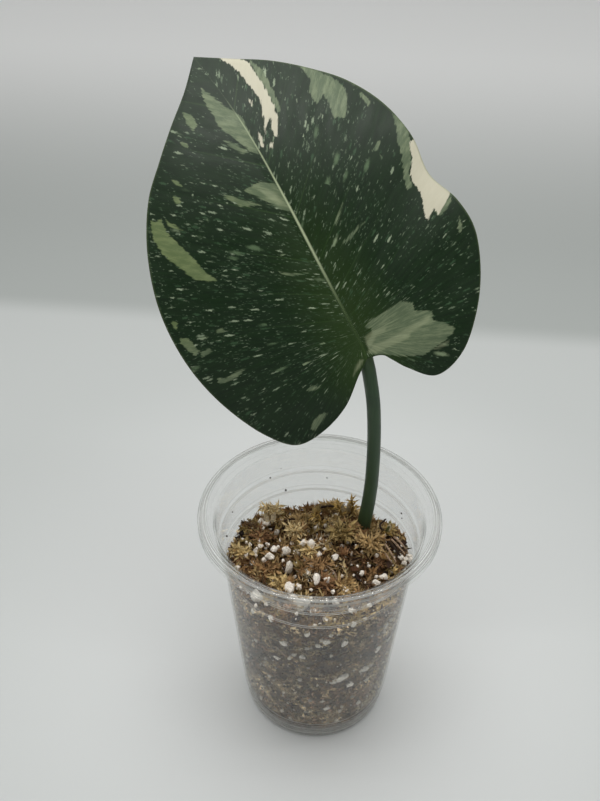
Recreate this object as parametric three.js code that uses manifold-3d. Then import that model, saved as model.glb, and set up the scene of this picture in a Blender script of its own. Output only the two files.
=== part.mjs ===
// A variegated aroid seedling in a clear drinks cup: one leaf on its stalk, rooted in moss and perlite.
// Millimetres, +Z up. Everything is built round the cup's axis, with the table at height 0, and the whole
// is then centred under its own box.
import * as THREE from 'three';
import { mergeVertices } from 'three/addons/utils/BufferGeometryUtils.js';
import Module from 'manifold-3d';

const wasm = await Module();
wasm.setup();

// Driving dimensions of the cup
const CUP_HEIGHT = 110;
const RIM_RADIUS = 49;
const BASE_RADIUS = 31.5;
const WALL = 0.7;
const WALL_SLOPE = 0.086;
const STEP_HEIGHT = 10.4;
const SHOULDER_HEIGHT = 84.6;
const FLOOR_HEIGHT = 7.6;
const FOOT_INNER_RADIUS = 27.6;
const CUP_SIDES = 48;
const SEAT_GAP = 0.3;

// Driving dimensions of the potting mix
const MIX_LEVEL = 81;
const MOUND = { x: 14, y: 9, height: 7, spread: 15 };
const FAR_DIP = { from: 16, to: 38, depth: 7 };
const GROOVE_FILL = 4.5;
const WALL_CLEARANCE = 0.5;
const MOSS = { count: 58, reach: 34, seed: 20 };
const PERLITE = { count: 30, reach: 35, seed: 7 };

// Driving dimensions of the plant
const LEAF_BASE = new THREE.Vector3(17, 12, 175);
const LEAN_BACK = 32;
const ROLL = 31;
const BLADE_THICKNESS = 0.9;
const RIB_DEPTH = 2.4;
const RIB_HALF_WIDTH = 2.1;

// Outline of the blade in its own plane, as [across, along] from the leaf base: sinus first, tip last
const LEFT_MARGIN = [
  [-1, 0], [-7, -4], [-17, -11.5], [-29, -15.5], [-40, -15], [-48, -6], [-54.5, 7.5], [-58.5, 21.5],
  [-60, 36], [-59, 51], [-55.5, 65], [-49.5, 79], [-41, 92], [-31, 101.5], [-20.5, 111], [-9.5, 120.5],
  [0.5, 131.5],
];
const RIGHT_MARGIN = [
  [-1, 0], [5, -2], [10, -10], [18.5, -18.5], [31, -16], [43, -5.5], [52, 7], [57.5, 21],
  [57, 34], [53, 47], [54.5, 62], [51.5, 78], [44.5, 92], [35, 103], [24, 113.5], [12, 122.5],
  [0.5, 131.5],
];
const MIDRIB = [[0, 7], [1, 33], [2.5, 66], [3, 98.5], [0.5, 131.5]];

// Form of the blade off its plane
const TIP_CURL = { from: 55, rate: 0.0036 };
const HALF_DROOP = 0.0018;
const LOBE_DROOP = 0.012;
const KEEL = { height: 1.6, width: 9 };
const LEFT_RIPPLE = { height: 1.3, turn: 15, start: 0.4 };
const RIGHT_RIPPLE = { height: 1.5, turn: 17, start: -1.1 };
const RIGHT_FOLD = { depth: 3.2, at: 0.57, width: 0.07 };
const LOBE_SHARE = 0.28;
const VEIN_BUNCHING = 1.3;

// Path and radius of the stalk, from the buried stem up behind the blade and along its midrib
const STALK = [
  { at: [17.5, 11.5, 77], radius: 3.2 },
  { at: [19, 12, 87], radius: 3 },
  { at: [21, 12.2, 108], radius: 2.8 },
  { at: [21.2, 12.4, 130], radius: 2.7 },
  { at: [20, 13, 151], radius: 2.7 },
  { at: [17.8, 14.2, 165], radius: 2.7 },
  { at: [16.3, 15.3, 171], radius: 2.8 },
  { at: [14.3, 17.4, 178], radius: 2.6 },
  { at: [10.9, 20.8, 183], radius: 1.3 },
];

// The buried stem below the stalk, and the roots that leave it, given from their own start
const STEM = [
  { at: [17.5, 11.5, 77 - SEAT_GAP], radius: 4 },
  { at: [16.5, 10.8, 66], radius: 3.8 },
  { at: [15, 10, 52], radius: 2.2 },
];
const ROOT_START = new THREE.Vector3(16.6, 10.8, 70);
const ROOT_RADII = [1.3, 1.1, 0.9, 0.6];
const ROOTS = [
  [[0, 0, 0], [7, 3, -3], [11, 6, -14], [9, 9, -28]],
  [[0, 0, -4], [-9, 2, -8], [-20, 6, -16], [-30, 4, -30]],
  [[0, 0, -7], [2, -10, -11], [-3, -22, -20], [-9, -30, -32]],
  [[0, 0, -10], [7, -7, -15], [10, -20, -24], [4, -26, -36]],
  [[0, 0, -12], [-5, 8, -18], [-12, 15, -26], [-22, 18, -36]],
  [[0, 0, -14], [-1, -2, -22], [-6, 1, -30], [-10, -6, -39]],
];

// Moss sprigs that stand up out of the mix behind the stalk: foot in plan and tip in space
const STANDING_SPRIGS = [
  { foot: [13, 17], tip: [14, 20, 99] },
  { foot: [9, 15], tip: [8, 18, 97] },
  { foot: [26, 8], tip: [29, 9, 92] },
  { foot: [2, 12], tip: [-2, 14, 92] },
];

const { degToRad, lerp, smoothstep } = THREE.MathUtils;
const spline = (points) => new THREE.SplineCurve(points.map(([x, y]) => new THREE.Vector2(x, y)));

// Seeded random numbers, so that every build is the same
function seeded(seed) {
  let state = seed;
  return (low, high) => {
    state = (state + 0x6d2b79f5) | 0;
    let mixed = Math.imul(state ^ (state >>> 15), 1 | state);
    mixed = (mixed + Math.imul(mixed ^ (mixed >>> 7), 61 | mixed)) ^ mixed;
    return low + (high - low) * (((mixed ^ (mixed >>> 14)) >>> 0) / 2 ** 32);
  };
}

// Closed geometry with positions only: points that coincide are merged and flat triangles dropped
function closedGeometry(geometry) {
  geometry.deleteAttribute('normal');
  geometry.deleteAttribute('uv');
  const merged = mergeVertices(geometry, 1e-4);
  const index = Array.from(merged.index.array);
  const kept = [];
  for (let i = 0; i < index.length; i += 3) {
    const corners = index.slice(i, i + 3);
    if (new Set(corners).size === 3) kept.push(...corners);
  }
  merged.setIndex(kept);
  return merged;
}

function geometryOf(points, triangles) {
  const geometry = new THREE.BufferGeometry();
  geometry.setAttribute('position', new THREE.Float32BufferAttribute(points.flat(), 3));
  geometry.setIndex(triangles.flat());
  return closedGeometry(geometry);
}

function toSolid(geometry) {
  return new wasm.Manifold(new wasm.Mesh({
    numProp: 3,
    vertProperties: new Float32Array(geometry.attributes.position.array),
    triVerts: new Uint32Array(geometry.index.array),
  }));
}

function fromSolid(solid) {
  const mesh = solid.getMesh();
  const geometry = new THREE.BufferGeometry();
  geometry.setAttribute('position', new THREE.BufferAttribute(new Float32Array(mesh.vertProperties), 3));
  geometry.setIndex(new THREE.BufferAttribute(new Uint32Array(mesh.triVerts), 1));
  return geometry;
}

// The largest body of a solid: scraps that a cut leaves loose are dropped
function largestBody(solid) {
  return solid.decompose().reduce((best, body) => (body.volume() > best.volume() ? body : best));
}

// The two triangles of each cell between neighbouring rings of points
function ringFaces(rings, sides) {
  const triangles = [];
  for (let i = 0; i < rings - 1; i += 1) {
    for (let j = 0; j < sides; j += 1) {
      const [a, b] = [i * sides + j, i * sides + ((j + 1) % sides)];
      triangles.push([a, b, b + sides], [a, b + sides, a + sides]);
    }
  }
  return triangles;
}

// Tapered round rod along a smooth path, closed at both ends, and larger all round by the growth
function rod(path, radii, sides, steps, growth = 0) {
  const last = path.length - 1;
  const route = [...path];
  route[0] = path[0].clone().sub(path[1]).setLength(growth).add(path[0]);
  route[last] = path[last].clone().sub(path[last - 1]).setLength(growth).add(path[last]);
  const curve = new THREE.CatmullRomCurve3(route);
  const frames = curve.computeFrenetFrames(steps, false);
  const points = [];
  for (let i = 0; i <= steps; i += 1) {
    const centre = curve.getPointAt(i / steps);
    const place = (i / steps) * last;
    const step = Math.min(Math.floor(place), last - 1);
    const radius = growth + lerp(radii[step], radii[step + 1], place - step);
    for (let j = 0; j < sides; j += 1) {
      const turn = (j / sides) * 2 * Math.PI;
      points.push(centre.clone()
        .addScaledVector(frames.normals[i], radius * Math.cos(turn))
        .addScaledVector(frames.binormals[i], radius * Math.sin(turn))
        .toArray());
    }
  }
  const triangles = ringFaces(steps + 1, sides);
  const [startCentre, endCentre] = [points.length, points.length + 1];
  points.push(curve.getPointAt(0).toArray(), curve.getPointAt(1).toArray());
  for (let j = 0; j < sides; j += 1) {
    const next = (j + 1) % sides;
    triangles.push([startCentre, next, j], [endCentre, steps * sides + j, steps * sides + next]);
  }
  return geometryOf(points, triangles);
}

const rodThrough = (stations, sides, steps, growth) => rod(
  stations.map(({ at }) => new THREE.Vector3(...at)),
  stations.map(({ radius }) => radius),
  sides,
  steps,
  growth,
);

// Body of rings round the Z axis: each ring gives its radius and its height, which may vary with place
function ringBody(rings, sides) {
  const points = rings.flatMap(([radius, height]) => Array.from({ length: sides }, (_, j) => {
    const turn = (j / sides) * 2 * Math.PI;
    const [x, y] = [radius * Math.cos(turn), radius * Math.sin(turn)];
    return [x, y, typeof height === 'function' ? height(x, y) : height];
  }));
  return geometryOf(points, ringFaces(rings.length, sides));
}

// Outer radius of the tapered wall at a height above the table
const wallRadius = (height) => BASE_RADIUS + 0.75 + WALL_SLOPE * height;

// The cup: one formed sheet, from the floor down into the foot, up the wall and over the rolled rim.
// Its inner face is the outer one moved in by about the wall's thickness.
function makeCup() {
  const [foot, base, step, shoulder] = [FOOT_INNER_RADIUS, BASE_RADIUS, STEP_HEIGHT, SHOULDER_HEIGHT];
  const [top, rim] = [CUP_HEIGHT, RIM_RADIUS];
  const outerFace = [
    [0, FLOOR_HEIGHT], [foot - 1.8, FLOOR_HEIGHT], [foot - 0.7, FLOOR_HEIGHT - 0.9], [foot, 0],
    [base - 0.9, 0], [base, 1], [base + 0.7, step - 1.4], [wallRadius(step), step],
    [wallRadius(shoulder), shoulder], [rim - 8.5, shoulder + 1.4], [rim - 8.1, shoulder + 10],
    [rim - 7.1, shoulder + 11.4], [rim - 6.1, top - 4.8], [rim - 4.4, top - 3.4], [rim - 2.6, top - 1.1],
    [rim - 1.6, top - 1.1], [rim - 0.8, top - 2], [rim - 0.7, top - 4.6],
  ];
  const innerFace = [
    [rim, top - 4.6], [rim, top - 1.7], [rim - 1.1, top - 0.3], [rim - 2.1, top], [rim - 3, top],
    [rim - 3.7, top - 0.5], [rim - 5.1, top - 2.4], [rim - 6.8, top - 4], [rim - 7.8, shoulder + 12],
    [rim - 8.8, shoulder + 10.6], [rim - 9.2, shoulder + 2], [wallRadius(shoulder) - WALL, shoulder + 0.2],
    [wallRadius(step) - WALL, step + 0.6], [base, step - 1.1], [base - WALL, 1.3], [base - 1.2, WALL],
    [foot + 0.6, WALL], [foot - 0.1, FLOOR_HEIGHT - 0.6], [foot - 1.5, FLOOR_HEIGHT + WALL],
    [0, FLOOR_HEIGHT + WALL],
  ];
  const profile = [...outerFace, ...innerFace].map(([radius, height]) => new THREE.Vector2(radius, height));
  return closedGeometry(new THREE.LatheGeometry(profile, CUP_SIDES).rotateX(Math.PI / 2));
}

// Height of the mix's surface: a mound round the plant, a dip at the far wall and lumps all over
function mixHeight(x, y) {
  const offMound = (x - MOUND.x) ** 2 + (y - MOUND.y) ** 2;
  const mound = MOUND.height * Math.exp(-offMound / (2 * MOUND.spread ** 2));
  const dip = FAR_DIP.depth * smoothstep(y, FAR_DIP.from, FAR_DIP.to);
  const broadLumps = 1.1 * Math.sin(0.33 * x + 0.9) * Math.cos(0.29 * y);
  const smallLumps = 0.8 * Math.sin(0.61 * x - 0.5 * y) + 0.5 * Math.cos(0.83 * y + 0.4 * x);
  return MIX_LEVEL + mound - dip + broadLumps + smallLumps;
}

// Even places over a disc, on a spiral of golden turns with a little scatter
function spreadPlace(number, { count, reach }, random) {
  const radius = reach * Math.sqrt((number + 0.5) / count);
  const turn = number * Math.PI * (3 - Math.sqrt(5)) + random(-0.2, 0.2);
  return [radius * Math.cos(turn) + random(-1, 1), radius * Math.sin(turn) + random(-1, 1)];
}

// Moss strand, rooted in the surface: it rises, bends over and points back down
function mossStrand(number, random) {
  const [x, y] = spreadPlace(number, MOSS, random);
  const heading = random(0, 2 * Math.PI);
  const length = random(9, 17);
  const rise = random(1.2, 3.6);
  const stations = [[-0.55, -2.4], [-0.2, 0.55 * rise], [0.2, rise], [0.5, -0.6]];
  const path = stations.map(([share, lift], i) => {
    const bend = heading + 0.3 * i;
    const [px, py] = [x + share * length * Math.cos(bend), y + share * length * Math.sin(bend)];
    return new THREE.Vector3(px, py, mixHeight(px, py) + lift);
  });
  return rod(path, [0.8, 1.6, 1.3, 0.35], 3, 3);
}

function standingSprig({ foot: [x, y], tip }) {
  const bottom = new THREE.Vector3(x, y, mixHeight(x, y) - 3);
  const top = new THREE.Vector3(...tip);
  const middle = bottom.clone().lerp(top, 0.55).add(new THREE.Vector3(1.2, 0.8, 0.6));
  return rod([bottom, middle, top], [1.5, 1.1, 0.4], 5, 4);
}

// Perlite grain: a lumpy pebble, a third of it sunk
function perliteGrain(number, random) {
  const [x, y] = spreadPlace(number, PERLITE, random);
  const size = random(1.5, 2.9);
  const grain = closedGeometry(new THREE.IcosahedronGeometry(size, 0));
  const corners = grain.attributes.position;
  const corner = new THREE.Vector3();
  for (let i = 0; i < corners.count; i += 1) {
    corner.fromBufferAttribute(corners, i).multiplyScalar(random(0.78, 1.18));
    corners.setXYZ(i, corner.x, corner.y, 0.85 * corner.z);
  }
  return grain.rotateZ(random(0, Math.PI)).translate(x, y, mixHeight(x, y) + 0.35 * size);
}

// Radius of the mix at a height, clear of the cup's wall
const mixRadius = (height) => wallRadius(height) - WALL - WALL_CLEARANCE;

// The potting mix: the filled inside of the cup, strands and grains on top, and the plant's own holes
function makeSubstrate() {
  const floor = FLOOR_HEIGHT + WALL + SEAT_GAP;
  const aboveStep = STEP_HEIGHT + 1;
  const brim = mixRadius(SHOULDER_HEIGHT);
  const foot = [
    [BASE_RADIUS - WALL - WALL_CLEARANCE, GROOVE_FILL],
    [BASE_RADIUS - WALL_CLEARANCE, STEP_HEIGHT - 1.1],
    [mixRadius(aboveStep), aboveStep],
  ];
  const core = ringBody([
    [0, floor], [FOOT_INNER_RADIUS - 1.3, floor], [FOOT_INNER_RADIUS + 0.4, FLOOR_HEIGHT - 0.3],
    [FOOT_INNER_RADIUS + 0.9, GROOVE_FILL], ...foot, [mixRadius(44), 44],
    [mixRadius(66), (x, y) => mixHeight(x, y) - 9], [mixRadius(80), (x, y) => mixHeight(x, y) - 0.8],
    [0.84 * brim, mixHeight], [0.62 * brim, mixHeight], [0.4 * brim, mixHeight], [0.2 * brim, mixHeight],
    [0, mixHeight],
  ], CUP_SIDES / 2);
  const slack = 0.15;
  const room = ringBody([
    [0, GROOVE_FILL - slack],
    ...[...foot, [brim, SHOULDER_HEIGHT], [brim + 1, SHOULDER_HEIGHT + 3], [brim + 1.2, CUP_HEIGHT - 6]]
      .map(([radius, height]) => [radius + slack, height - slack]),
    [0, CUP_HEIGHT - 6 - slack],
  ], CUP_SIDES);
  const [mossRandom, perliteRandom] = [seeded(MOSS.seed), seeded(PERLITE.seed)];
  const additions = [
    ...Array.from({ length: MOSS.count }, (_, number) => mossStrand(number, mossRandom)),
    ...Array.from({ length: PERLITE.count }, (_, number) => perliteGrain(number, perliteRandom)),
    ...STANDING_SPRIGS.map(standingSprig),
  ];
  const heap = wasm.Manifold.union([core, ...additions].map(toSolid));
  const holes = toSolid(petioleRod(SEAT_GAP)).add(stemAndRoots(SEAT_GAP));
  return fromSolid(largestBody(heap.intersect(toSolid(room)).subtract(holes)));
}

const petioleRod = (growth) => rodThrough(STALK, 10, 18, growth);

function stemAndRoots(growth) {
  const roots = ROOTS.map((places) => {
    const path = places.map((place) => new THREE.Vector3(...place).add(ROOT_START));
    return rod(path, ROOT_RADII, 6, 7, growth);
  });
  return wasm.Manifold.union([rodThrough(STEM, 9, 4, growth), ...roots].map(toSolid));
}

// Depth of the blade off its plane: the halves rise from the midrib and droop, and the tip curls back
function bladeDepth(across, along) {
  const tipCurl = TIP_CURL.rate * Math.max(0, along - TIP_CURL.from) ** 2;
  const keel = KEEL.height * (1 - Math.exp(-Math.abs(across) / KEEL.width));
  return keel - tipCurl - HALF_DROOP * across ** 2 - LOBE_DROOP * Math.min(0, along) ** 2;
}

// Waves of the margin, by side and by share of the way round from sinus to tip
function marginWave(side, round) {
  const { height, turn, start } = side < 0 ? LEFT_RIPPLE : RIGHT_RIPPLE;
  const ripple = height * Math.sin(turn * round + start) * Math.sin(Math.PI * Math.min(1, 1.04 * round));
  const offFold = (round - RIGHT_FOLD.at) / RIGHT_FOLD.width;
  return side < 0 ? ripple : ripple - RIGHT_FOLD.depth * Math.exp(-(offFold ** 2));
}

// Share of the midrib where the vein that reaches the margin at this share leaves it: the veins of the
// lobes all leave the midrib's foot
const veinRoot = (round) => Math.max(0, (round - LOBE_SHARE) / (1 - LOBE_SHARE)) ** VEIN_BUNCHING;

// The blade as a grid of veins: columns go round the margin, rows from the midrib out to it.
// Upper and lower faces are split alike, and the midrib swells below.
function bladeGeometry(above, below) {
  const [columns, rows] = [40, 7];
  const midrib = spline(MIDRIB);
  const points = [];
  const triangles = [];
  for (const side of [-1, 1]) {
    const margin = spline(side < 0 ? LEFT_MARGIN : RIGHT_MARGIN);
    const first = points.length / 2;
    for (let i = 0; i <= columns; i += 1) {
      const round = i / columns;
      const root = midrib.getPoint(veinRoot(round));
      const edge = margin.getPoint(round);
      const ribShare = Math.min(RIB_HALF_WIDTH / Math.max(root.distanceTo(edge), RIB_HALF_WIDTH), 1 / 3);
      for (let j = 0; j <= rows; j += 1) {
        const share = j < 1 ? 0 : lerp(ribShare, 1, (j - 1) / (rows - 1));
        const { x, y } = root.clone().lerp(edge, share);
        const depth = bladeDepth(x, y) + marginWave(side, round) * share ** 2;
        const rib = j < 1 ? RIB_DEPTH * (1 - 0.85 * veinRoot(round)) : 0;
        points.push([x, y, depth + above], [x, y, depth - below - rib]);
      }
    }
    const number = (i, j, under) => 2 * (first + i * (rows + 1) + j) + under;
    const face = (a, b, c) => triangles.push(side > 0 ? [a, b, c] : [a, c, b]);
    for (let i = 0; i < columns; i += 1) {
      for (let j = 0; j < rows; j += 1) {
        face(number(i, j, 0), number(i, j + 1, 0), number(i + 1, j + 1, 0));
        face(number(i, j, 0), number(i + 1, j + 1, 0), number(i + 1, j, 0));
        face(number(i, j, 1), number(i + 1, j + 1, 1), number(i, j + 1, 1));
        face(number(i, j, 1), number(i + 1, j, 1), number(i + 1, j + 1, 1));
      }
      face(number(i, rows, 0), number(i, rows, 1), number(i + 1, rows, 1));
      face(number(i, rows, 0), number(i + 1, rows, 1), number(i + 1, rows, 0));
    }
  }
  return geometryOf(points, triangles);
}

function placeBlade(object) {
  object.rotation.set(degToRad(90 - LEAN_BACK), 0, degToRad(ROLL));
  object.position.copy(LEAF_BASE);
  object.updateMatrix();
  return object;
}

// The stalk is trimmed to lie just short of the blade's underside
function makePetiole() {
  const trimmer = bladeGeometry(12, BLADE_THICKNESS / 2 + SEAT_GAP);
  trimmer.applyMatrix4(placeBlade(new THREE.Object3D()).matrix);
  return fromSolid(largestBody(toSolid(petioleRod(0)).subtract(toSolid(trimmer))));
}

function piece(name, geometry, color, roughness) {
  const mesh = new THREE.Mesh(geometry, new THREE.MeshStandardMaterial({ color, roughness, metalness: 0 }));
  mesh.name = name;
  return mesh;
}

const cup = piece('cup', makeCup(), 0xdfe5e4, 0.12);
cup.material.transparent = true;
cup.material.opacity = 0.3;

const pot = new THREE.Group();
pot.add(cup, piece('substrate', makeSubstrate(), 0x7a5a2e, 0.95));

const blade = bladeGeometry(BLADE_THICKNESS / 2, BLADE_THICKNESS / 2);
const plant = new THREE.Group();
plant.add(
  piece('stem_and_roots', fromSolid(stemAndRoots(0)), 0xb59a6c, 0.8),
  piece('petiole', makePetiole(), 0x2f4a2c, 0.5),
  placeBlade(piece('leaf_blade', blade, 0x20382a, 0.45)),
);

const assembly = new THREE.Group();
assembly.add(pot, plant);
assembly.updateMatrixWorld(true);
const middle = new THREE.Box3().setFromObject(assembly, true).getCenter(new THREE.Vector3());
assembly.position.set(-middle.x, -middle.y, 0);

const model = new THREE.Group();
model.add(assembly);

export default model;
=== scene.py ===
import math
import random

import bmesh
import bpy
import numpy as np
from mathutils import Matrix, Vector, noise


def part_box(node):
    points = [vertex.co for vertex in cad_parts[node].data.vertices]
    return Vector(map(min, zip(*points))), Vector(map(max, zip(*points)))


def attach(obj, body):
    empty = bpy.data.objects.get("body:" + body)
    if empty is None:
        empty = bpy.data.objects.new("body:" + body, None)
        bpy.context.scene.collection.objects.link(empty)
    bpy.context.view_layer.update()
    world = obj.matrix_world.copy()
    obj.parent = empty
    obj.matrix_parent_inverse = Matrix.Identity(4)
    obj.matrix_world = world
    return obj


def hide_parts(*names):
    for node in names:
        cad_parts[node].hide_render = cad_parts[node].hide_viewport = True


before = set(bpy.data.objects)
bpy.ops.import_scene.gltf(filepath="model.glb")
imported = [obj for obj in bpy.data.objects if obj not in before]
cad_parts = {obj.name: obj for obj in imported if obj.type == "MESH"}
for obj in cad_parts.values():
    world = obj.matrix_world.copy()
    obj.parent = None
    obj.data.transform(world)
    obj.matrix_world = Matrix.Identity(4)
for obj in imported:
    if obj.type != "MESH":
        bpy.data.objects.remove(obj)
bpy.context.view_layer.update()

MM = 0.001
GOLDEN_TURN = math.pi * (3 - math.sqrt(5))
CUP_LOW, CUP_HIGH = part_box("cup")
AXIS = Vector(((CUP_LOW[0] + CUP_HIGH[0]) / 2, (CUP_LOW[1] + CUP_HIGH[1]) / 2, 0))

# Cup, as in the part's source
CUP_HEIGHT = 110
RIM_RADIUS = 49
BASE_RADIUS = 31.5
WALL = 0.7
WALL_SLOPE = 0.086
STEP_HEIGHT = 10.4
SHOULDER_HEIGHT = 84.6
FLOOR_HEIGHT = 7.6
FOOT_INNER_RADIUS = 27.6

# Painted highlights: pale lines round the wall where its ridges catch the light: their height and how white
# they are
RING_HIGHLIGHTS = [(93.8, 0.6), (84.5, 0.6), (9, 1), (6.4, 0.4), (3.2, 0.5)]

# Potting mix, as in the part's source
MIX_LEVEL = 81
MOUND_PLACE = (14, 9)
MOUND_HEIGHT = 7
MOUND_SPREAD = 15
FAR_DIP_FROM, FAR_DIP_TO, FAR_DIP_DEPTH = 16, 38, 7
GROOVE_FILL = 4.5

# Dip of the loose mix behind the stalk, which the part's source leaves out
STALK_DIP_PLACE = (27, 24)
STALK_DIP_DEPTH = 4.5
STALK_DIP_SPREAD = 8

# Blade, as in the part's source
LEAF_BASE = np.array([17, 12, 175])
LEAN_BACK = math.radians(32)
ROLL = math.radians(31)
LEFT_MARGIN = [
    (-1, 0), (-7, -4), (-17, -11.5), (-29, -15.5), (-40, -15), (-48, -6), (-54.5, 7.5), (-58.5, 21.5),
    (-60, 36), (-59, 51), (-55.5, 65), (-49.5, 79), (-41, 92), (-31, 101.5), (-20.5, 111), (-9.5, 120.5),
    (0.5, 131.5),
]
RIGHT_MARGIN = [
    (-1, 0), (5, -2), (10, -10), (18.5, -18.5), (31, -16), (43, -5.5), (52, 7), (57.5, 21), (57, 34),
    (53, 47), (54.5, 62), (51.5, 78), (44.5, 92), (35, 103), (24, 113.5), (12, 122.5), (0.5, 131.5),
]
MIDRIB = [(0, 7), (1, 33), (2.5, 66), (3, 98.5), (0.5, 131.5)]
LOBE_SHARE = 0.28

# Bunching of the side veins towards the base, length of a margin and how finely the meshes are divided
VEIN_BUNCHING = 2.1
MARGIN_LENGTH = 230
BLADE_COLUMNS = 300
BLADE_ROWS = 74
CUP_SIDES = 144

# Stalk, stem and roots, as in the part's source
STALK = [
    (17.5, 11.5, 77), (19, 12, 87), (21, 12.2, 108), (21.2, 12.4, 130), (20, 13, 151), (17.8, 14.2, 165),
    (16.3, 15.3, 171), (14.3, 17.4, 178), (10.9, 20.8, 183),
]
STALK_RADII = [3.2, 3, 2.8, 2.7, 2.7, 2.7, 2.8, 2.6, 1.3]
STEM = [(17.5, 11.5, 76.7), (16.5, 10.8, 66), (15, 10, 52)]
STEM_RADII = [4, 3.8, 2.2]
ROOT_START = np.array([16.6, 10.8, 70])
ROOT_RADII = [1.3, 1.1, 0.9, 0.6]
ROOTS_FROM_START = [
    [(0, 0, 0), (7, 3, -3), (11, 6, -14), (9, 9, -28)],
    [(0, 0, -4), (-9, 2, -8), (-20, 6, -16), (-30, 4, -30)],
    [(0, 0, -7), (2, -10, -11), (-3, -22, -20), (-9, -30, -32)],
    [(0, 0, -10), (7, -7, -15), (10, -20, -24), (4, -26, -36)],
    [(0, 0, -12), (-5, 8, -18), (-12, 15, -26), (-22, 18, -36)],
    [(0, 0, -14), (-1, -2, -22), (-6, 1, -30), (-10, -6, -39)],
]

# Camera of the photograph, 600 x 801 pixels
PICTURE = (600, 801)
FOCAL_PIXELS = 900
CAMERA = np.array([-8.4, -262.8, 361.2])
PITCH = math.radians(36.9)
CAMERA_ROLL = math.radians(0.61)

# How many loose bits there are, and how far from the cup's axis they are scattered in millimetres
STRANDS = 280
TUFTS = 60
CHIPS = 120
THIN_TWIGS = 46
SMALL_GRAINS = 260
STRANDS_AT_WALL = 560
CRUMBS_AT_WALL = 5200
CHIPS_AT_WALL = 90
CHIPS_AT_FOOT = 150
SMALL_GRAINS_AT_WALL = 320
SCATTER_REACH = 37

# Lowest and highest strand against the wall
WALL_MOSS_LOW = 8.8
WALL_MOSS_HIGH = 84

# Marks on the blade, traced in the photograph's pixels
CREAM_MARKS = [
    [(219, 58), (234, 57), (248, 62), (255, 73), (264, 86), (273, 104), (278, 118), (277, 137),
     (273.5, 134), (270.5, 116), (267, 124), (265, 134), (263.5, 116), (259.5, 98), (249.5, 86),
     (239.5, 73), (230, 65)],
    [(258.5, 132), (262, 136), (264, 148), (260, 146)],
    [(270, 143), (273, 142), (273.5, 149), (270.5, 149)],
    [(249, 99), (252, 100), (251.5, 106), (249, 103)],
    [(410, 141), (419, 134), (427, 150), (434, 166), (442, 177), (452, 189), (448, 200), (444, 205),
     (438, 214), (434, 208), (428, 221), (425, 216), (423, 200), (420, 190), (417, 186), (413, 180),
     (411, 172), (413, 158)],
]
SAGE_MARKS = [
    [(249, 60), (262, 70), (272, 88), (279, 104), (281, 112), (277, 112), (270, 98), (262, 84), (255, 72)],
    [(201, 88), (210, 95), (224, 106), (241, 117), (249.5, 132), (259, 154), (250, 151), (238, 142),
     (226, 132), (217, 125), (214, 115), (207, 107), (203, 98)],
    [(223, 140), (234, 143), (251, 154), (243, 154), (231, 147)],
    [(256, 183), (266, 182), (276, 184), (288, 205), (291, 212), (281, 209), (269, 204), (262, 199),
     (245, 191)],
    [(224, 197), (233, 196), (246, 201), (262, 205), (254, 207), (240, 206)],
    [(150, 220), (156, 222), (161, 219), (166, 232), (178, 244), (191, 256), (205, 272), (217, 281),
     (207, 282), (194, 279), (180, 268), (163, 255), (153, 239)],
    [(165, 219), (172, 224), (185, 231), (174, 228), (167, 225)],
    [(183, 113), (192, 115), (198, 127), (193, 131), (186, 124)],
    [(181, 143), (187, 144), (189, 149), (183, 147)],
    [(173, 196), (180, 199), (181, 204), (175, 203)],
    [(171, 180), (178, 181), (182, 187), (176, 185)],
    [(180, 337), (188, 338), (199, 350), (196, 356), (188, 350), (181, 344)],
    [(172, 321), (178, 322), (177, 330), (173, 327)],
    [(202, 352), (209, 348), (215, 352), (206, 355), (202, 358)],
    [(218, 378), (226, 378), (236, 372), (247, 369), (238, 376), (226, 382), (219, 383)],
    [(216, 331), (223, 328), (225, 332), (218, 334)],
    [(311, 429), (313, 421), (320, 414), (327, 413), (322, 422), (314, 431)],
    [(307, 389), (314, 386), (320, 387), (315, 390), (308, 391)],
    [(299, 66), (310, 68), (324, 74), (334, 78), (341, 84), (347, 92), (347, 104), (345, 117), (334, 118),
     (329, 103), (323, 94), (316, 104), (309, 92), (311, 80), (305, 72)],
    [(359, 92), (364, 94), (371, 101), (368, 105), (362, 97)],
    [(391, 110), (399, 116), (407, 127), (411, 138), (410, 150), (412, 160), (409, 172), (413, 187),
     (407, 189), (404, 176), (403, 158), (398, 140), (396, 124)],
    [(434, 212), (446, 200), (452, 192), (451, 202), (448, 207), (440, 216)],
    [(459, 216), (462, 226), (461, 235), (457, 229)],
    [(365, 328), (370, 320), (386, 311), (401, 301), (413, 303), (415, 311), (432, 311), (433, 320),
     (446, 324), (456, 328), (450, 336), (436, 347), (423, 355), (402, 356), (384, 354), (369, 354),
     (367, 342), (372, 334), (371, 328)],
    [(279, 272), (290, 273), (312, 272), (300, 275), (284, 275)],
    [(340, 248), (344, 241), (354, 230), (364, 222), (358, 230), (347, 242)],
    [(333, 227), (337, 215), (343, 203), (341, 214), (336, 226)],
    [(371, 152), (378, 140), (382, 141), (377, 150)],
]

# Pale veins within the sage patches, and the pale edge of the notch
PALE_MARKS = [
    [(368, 352), (372, 346), (384, 341), (396, 335), (404, 330), (416, 323), (429, 316), (431, 319),
     (420, 327), (410, 333), (409, 338), (398, 343), (386, 348), (376, 353)],
    [(365, 337), (372, 331), (386, 327), (385, 331), (376, 336), (372, 344), (369, 350), (367, 345)],
    [(434, 349), (440, 344), (449, 341), (443, 347)],
    [(258, 189), (268, 191), (277, 195), (288, 207), (277, 203), (266, 196)],
    [(363, 360), (360, 367), (355, 372), (353, 376), (357, 365), (360, 360)],
]

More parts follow.
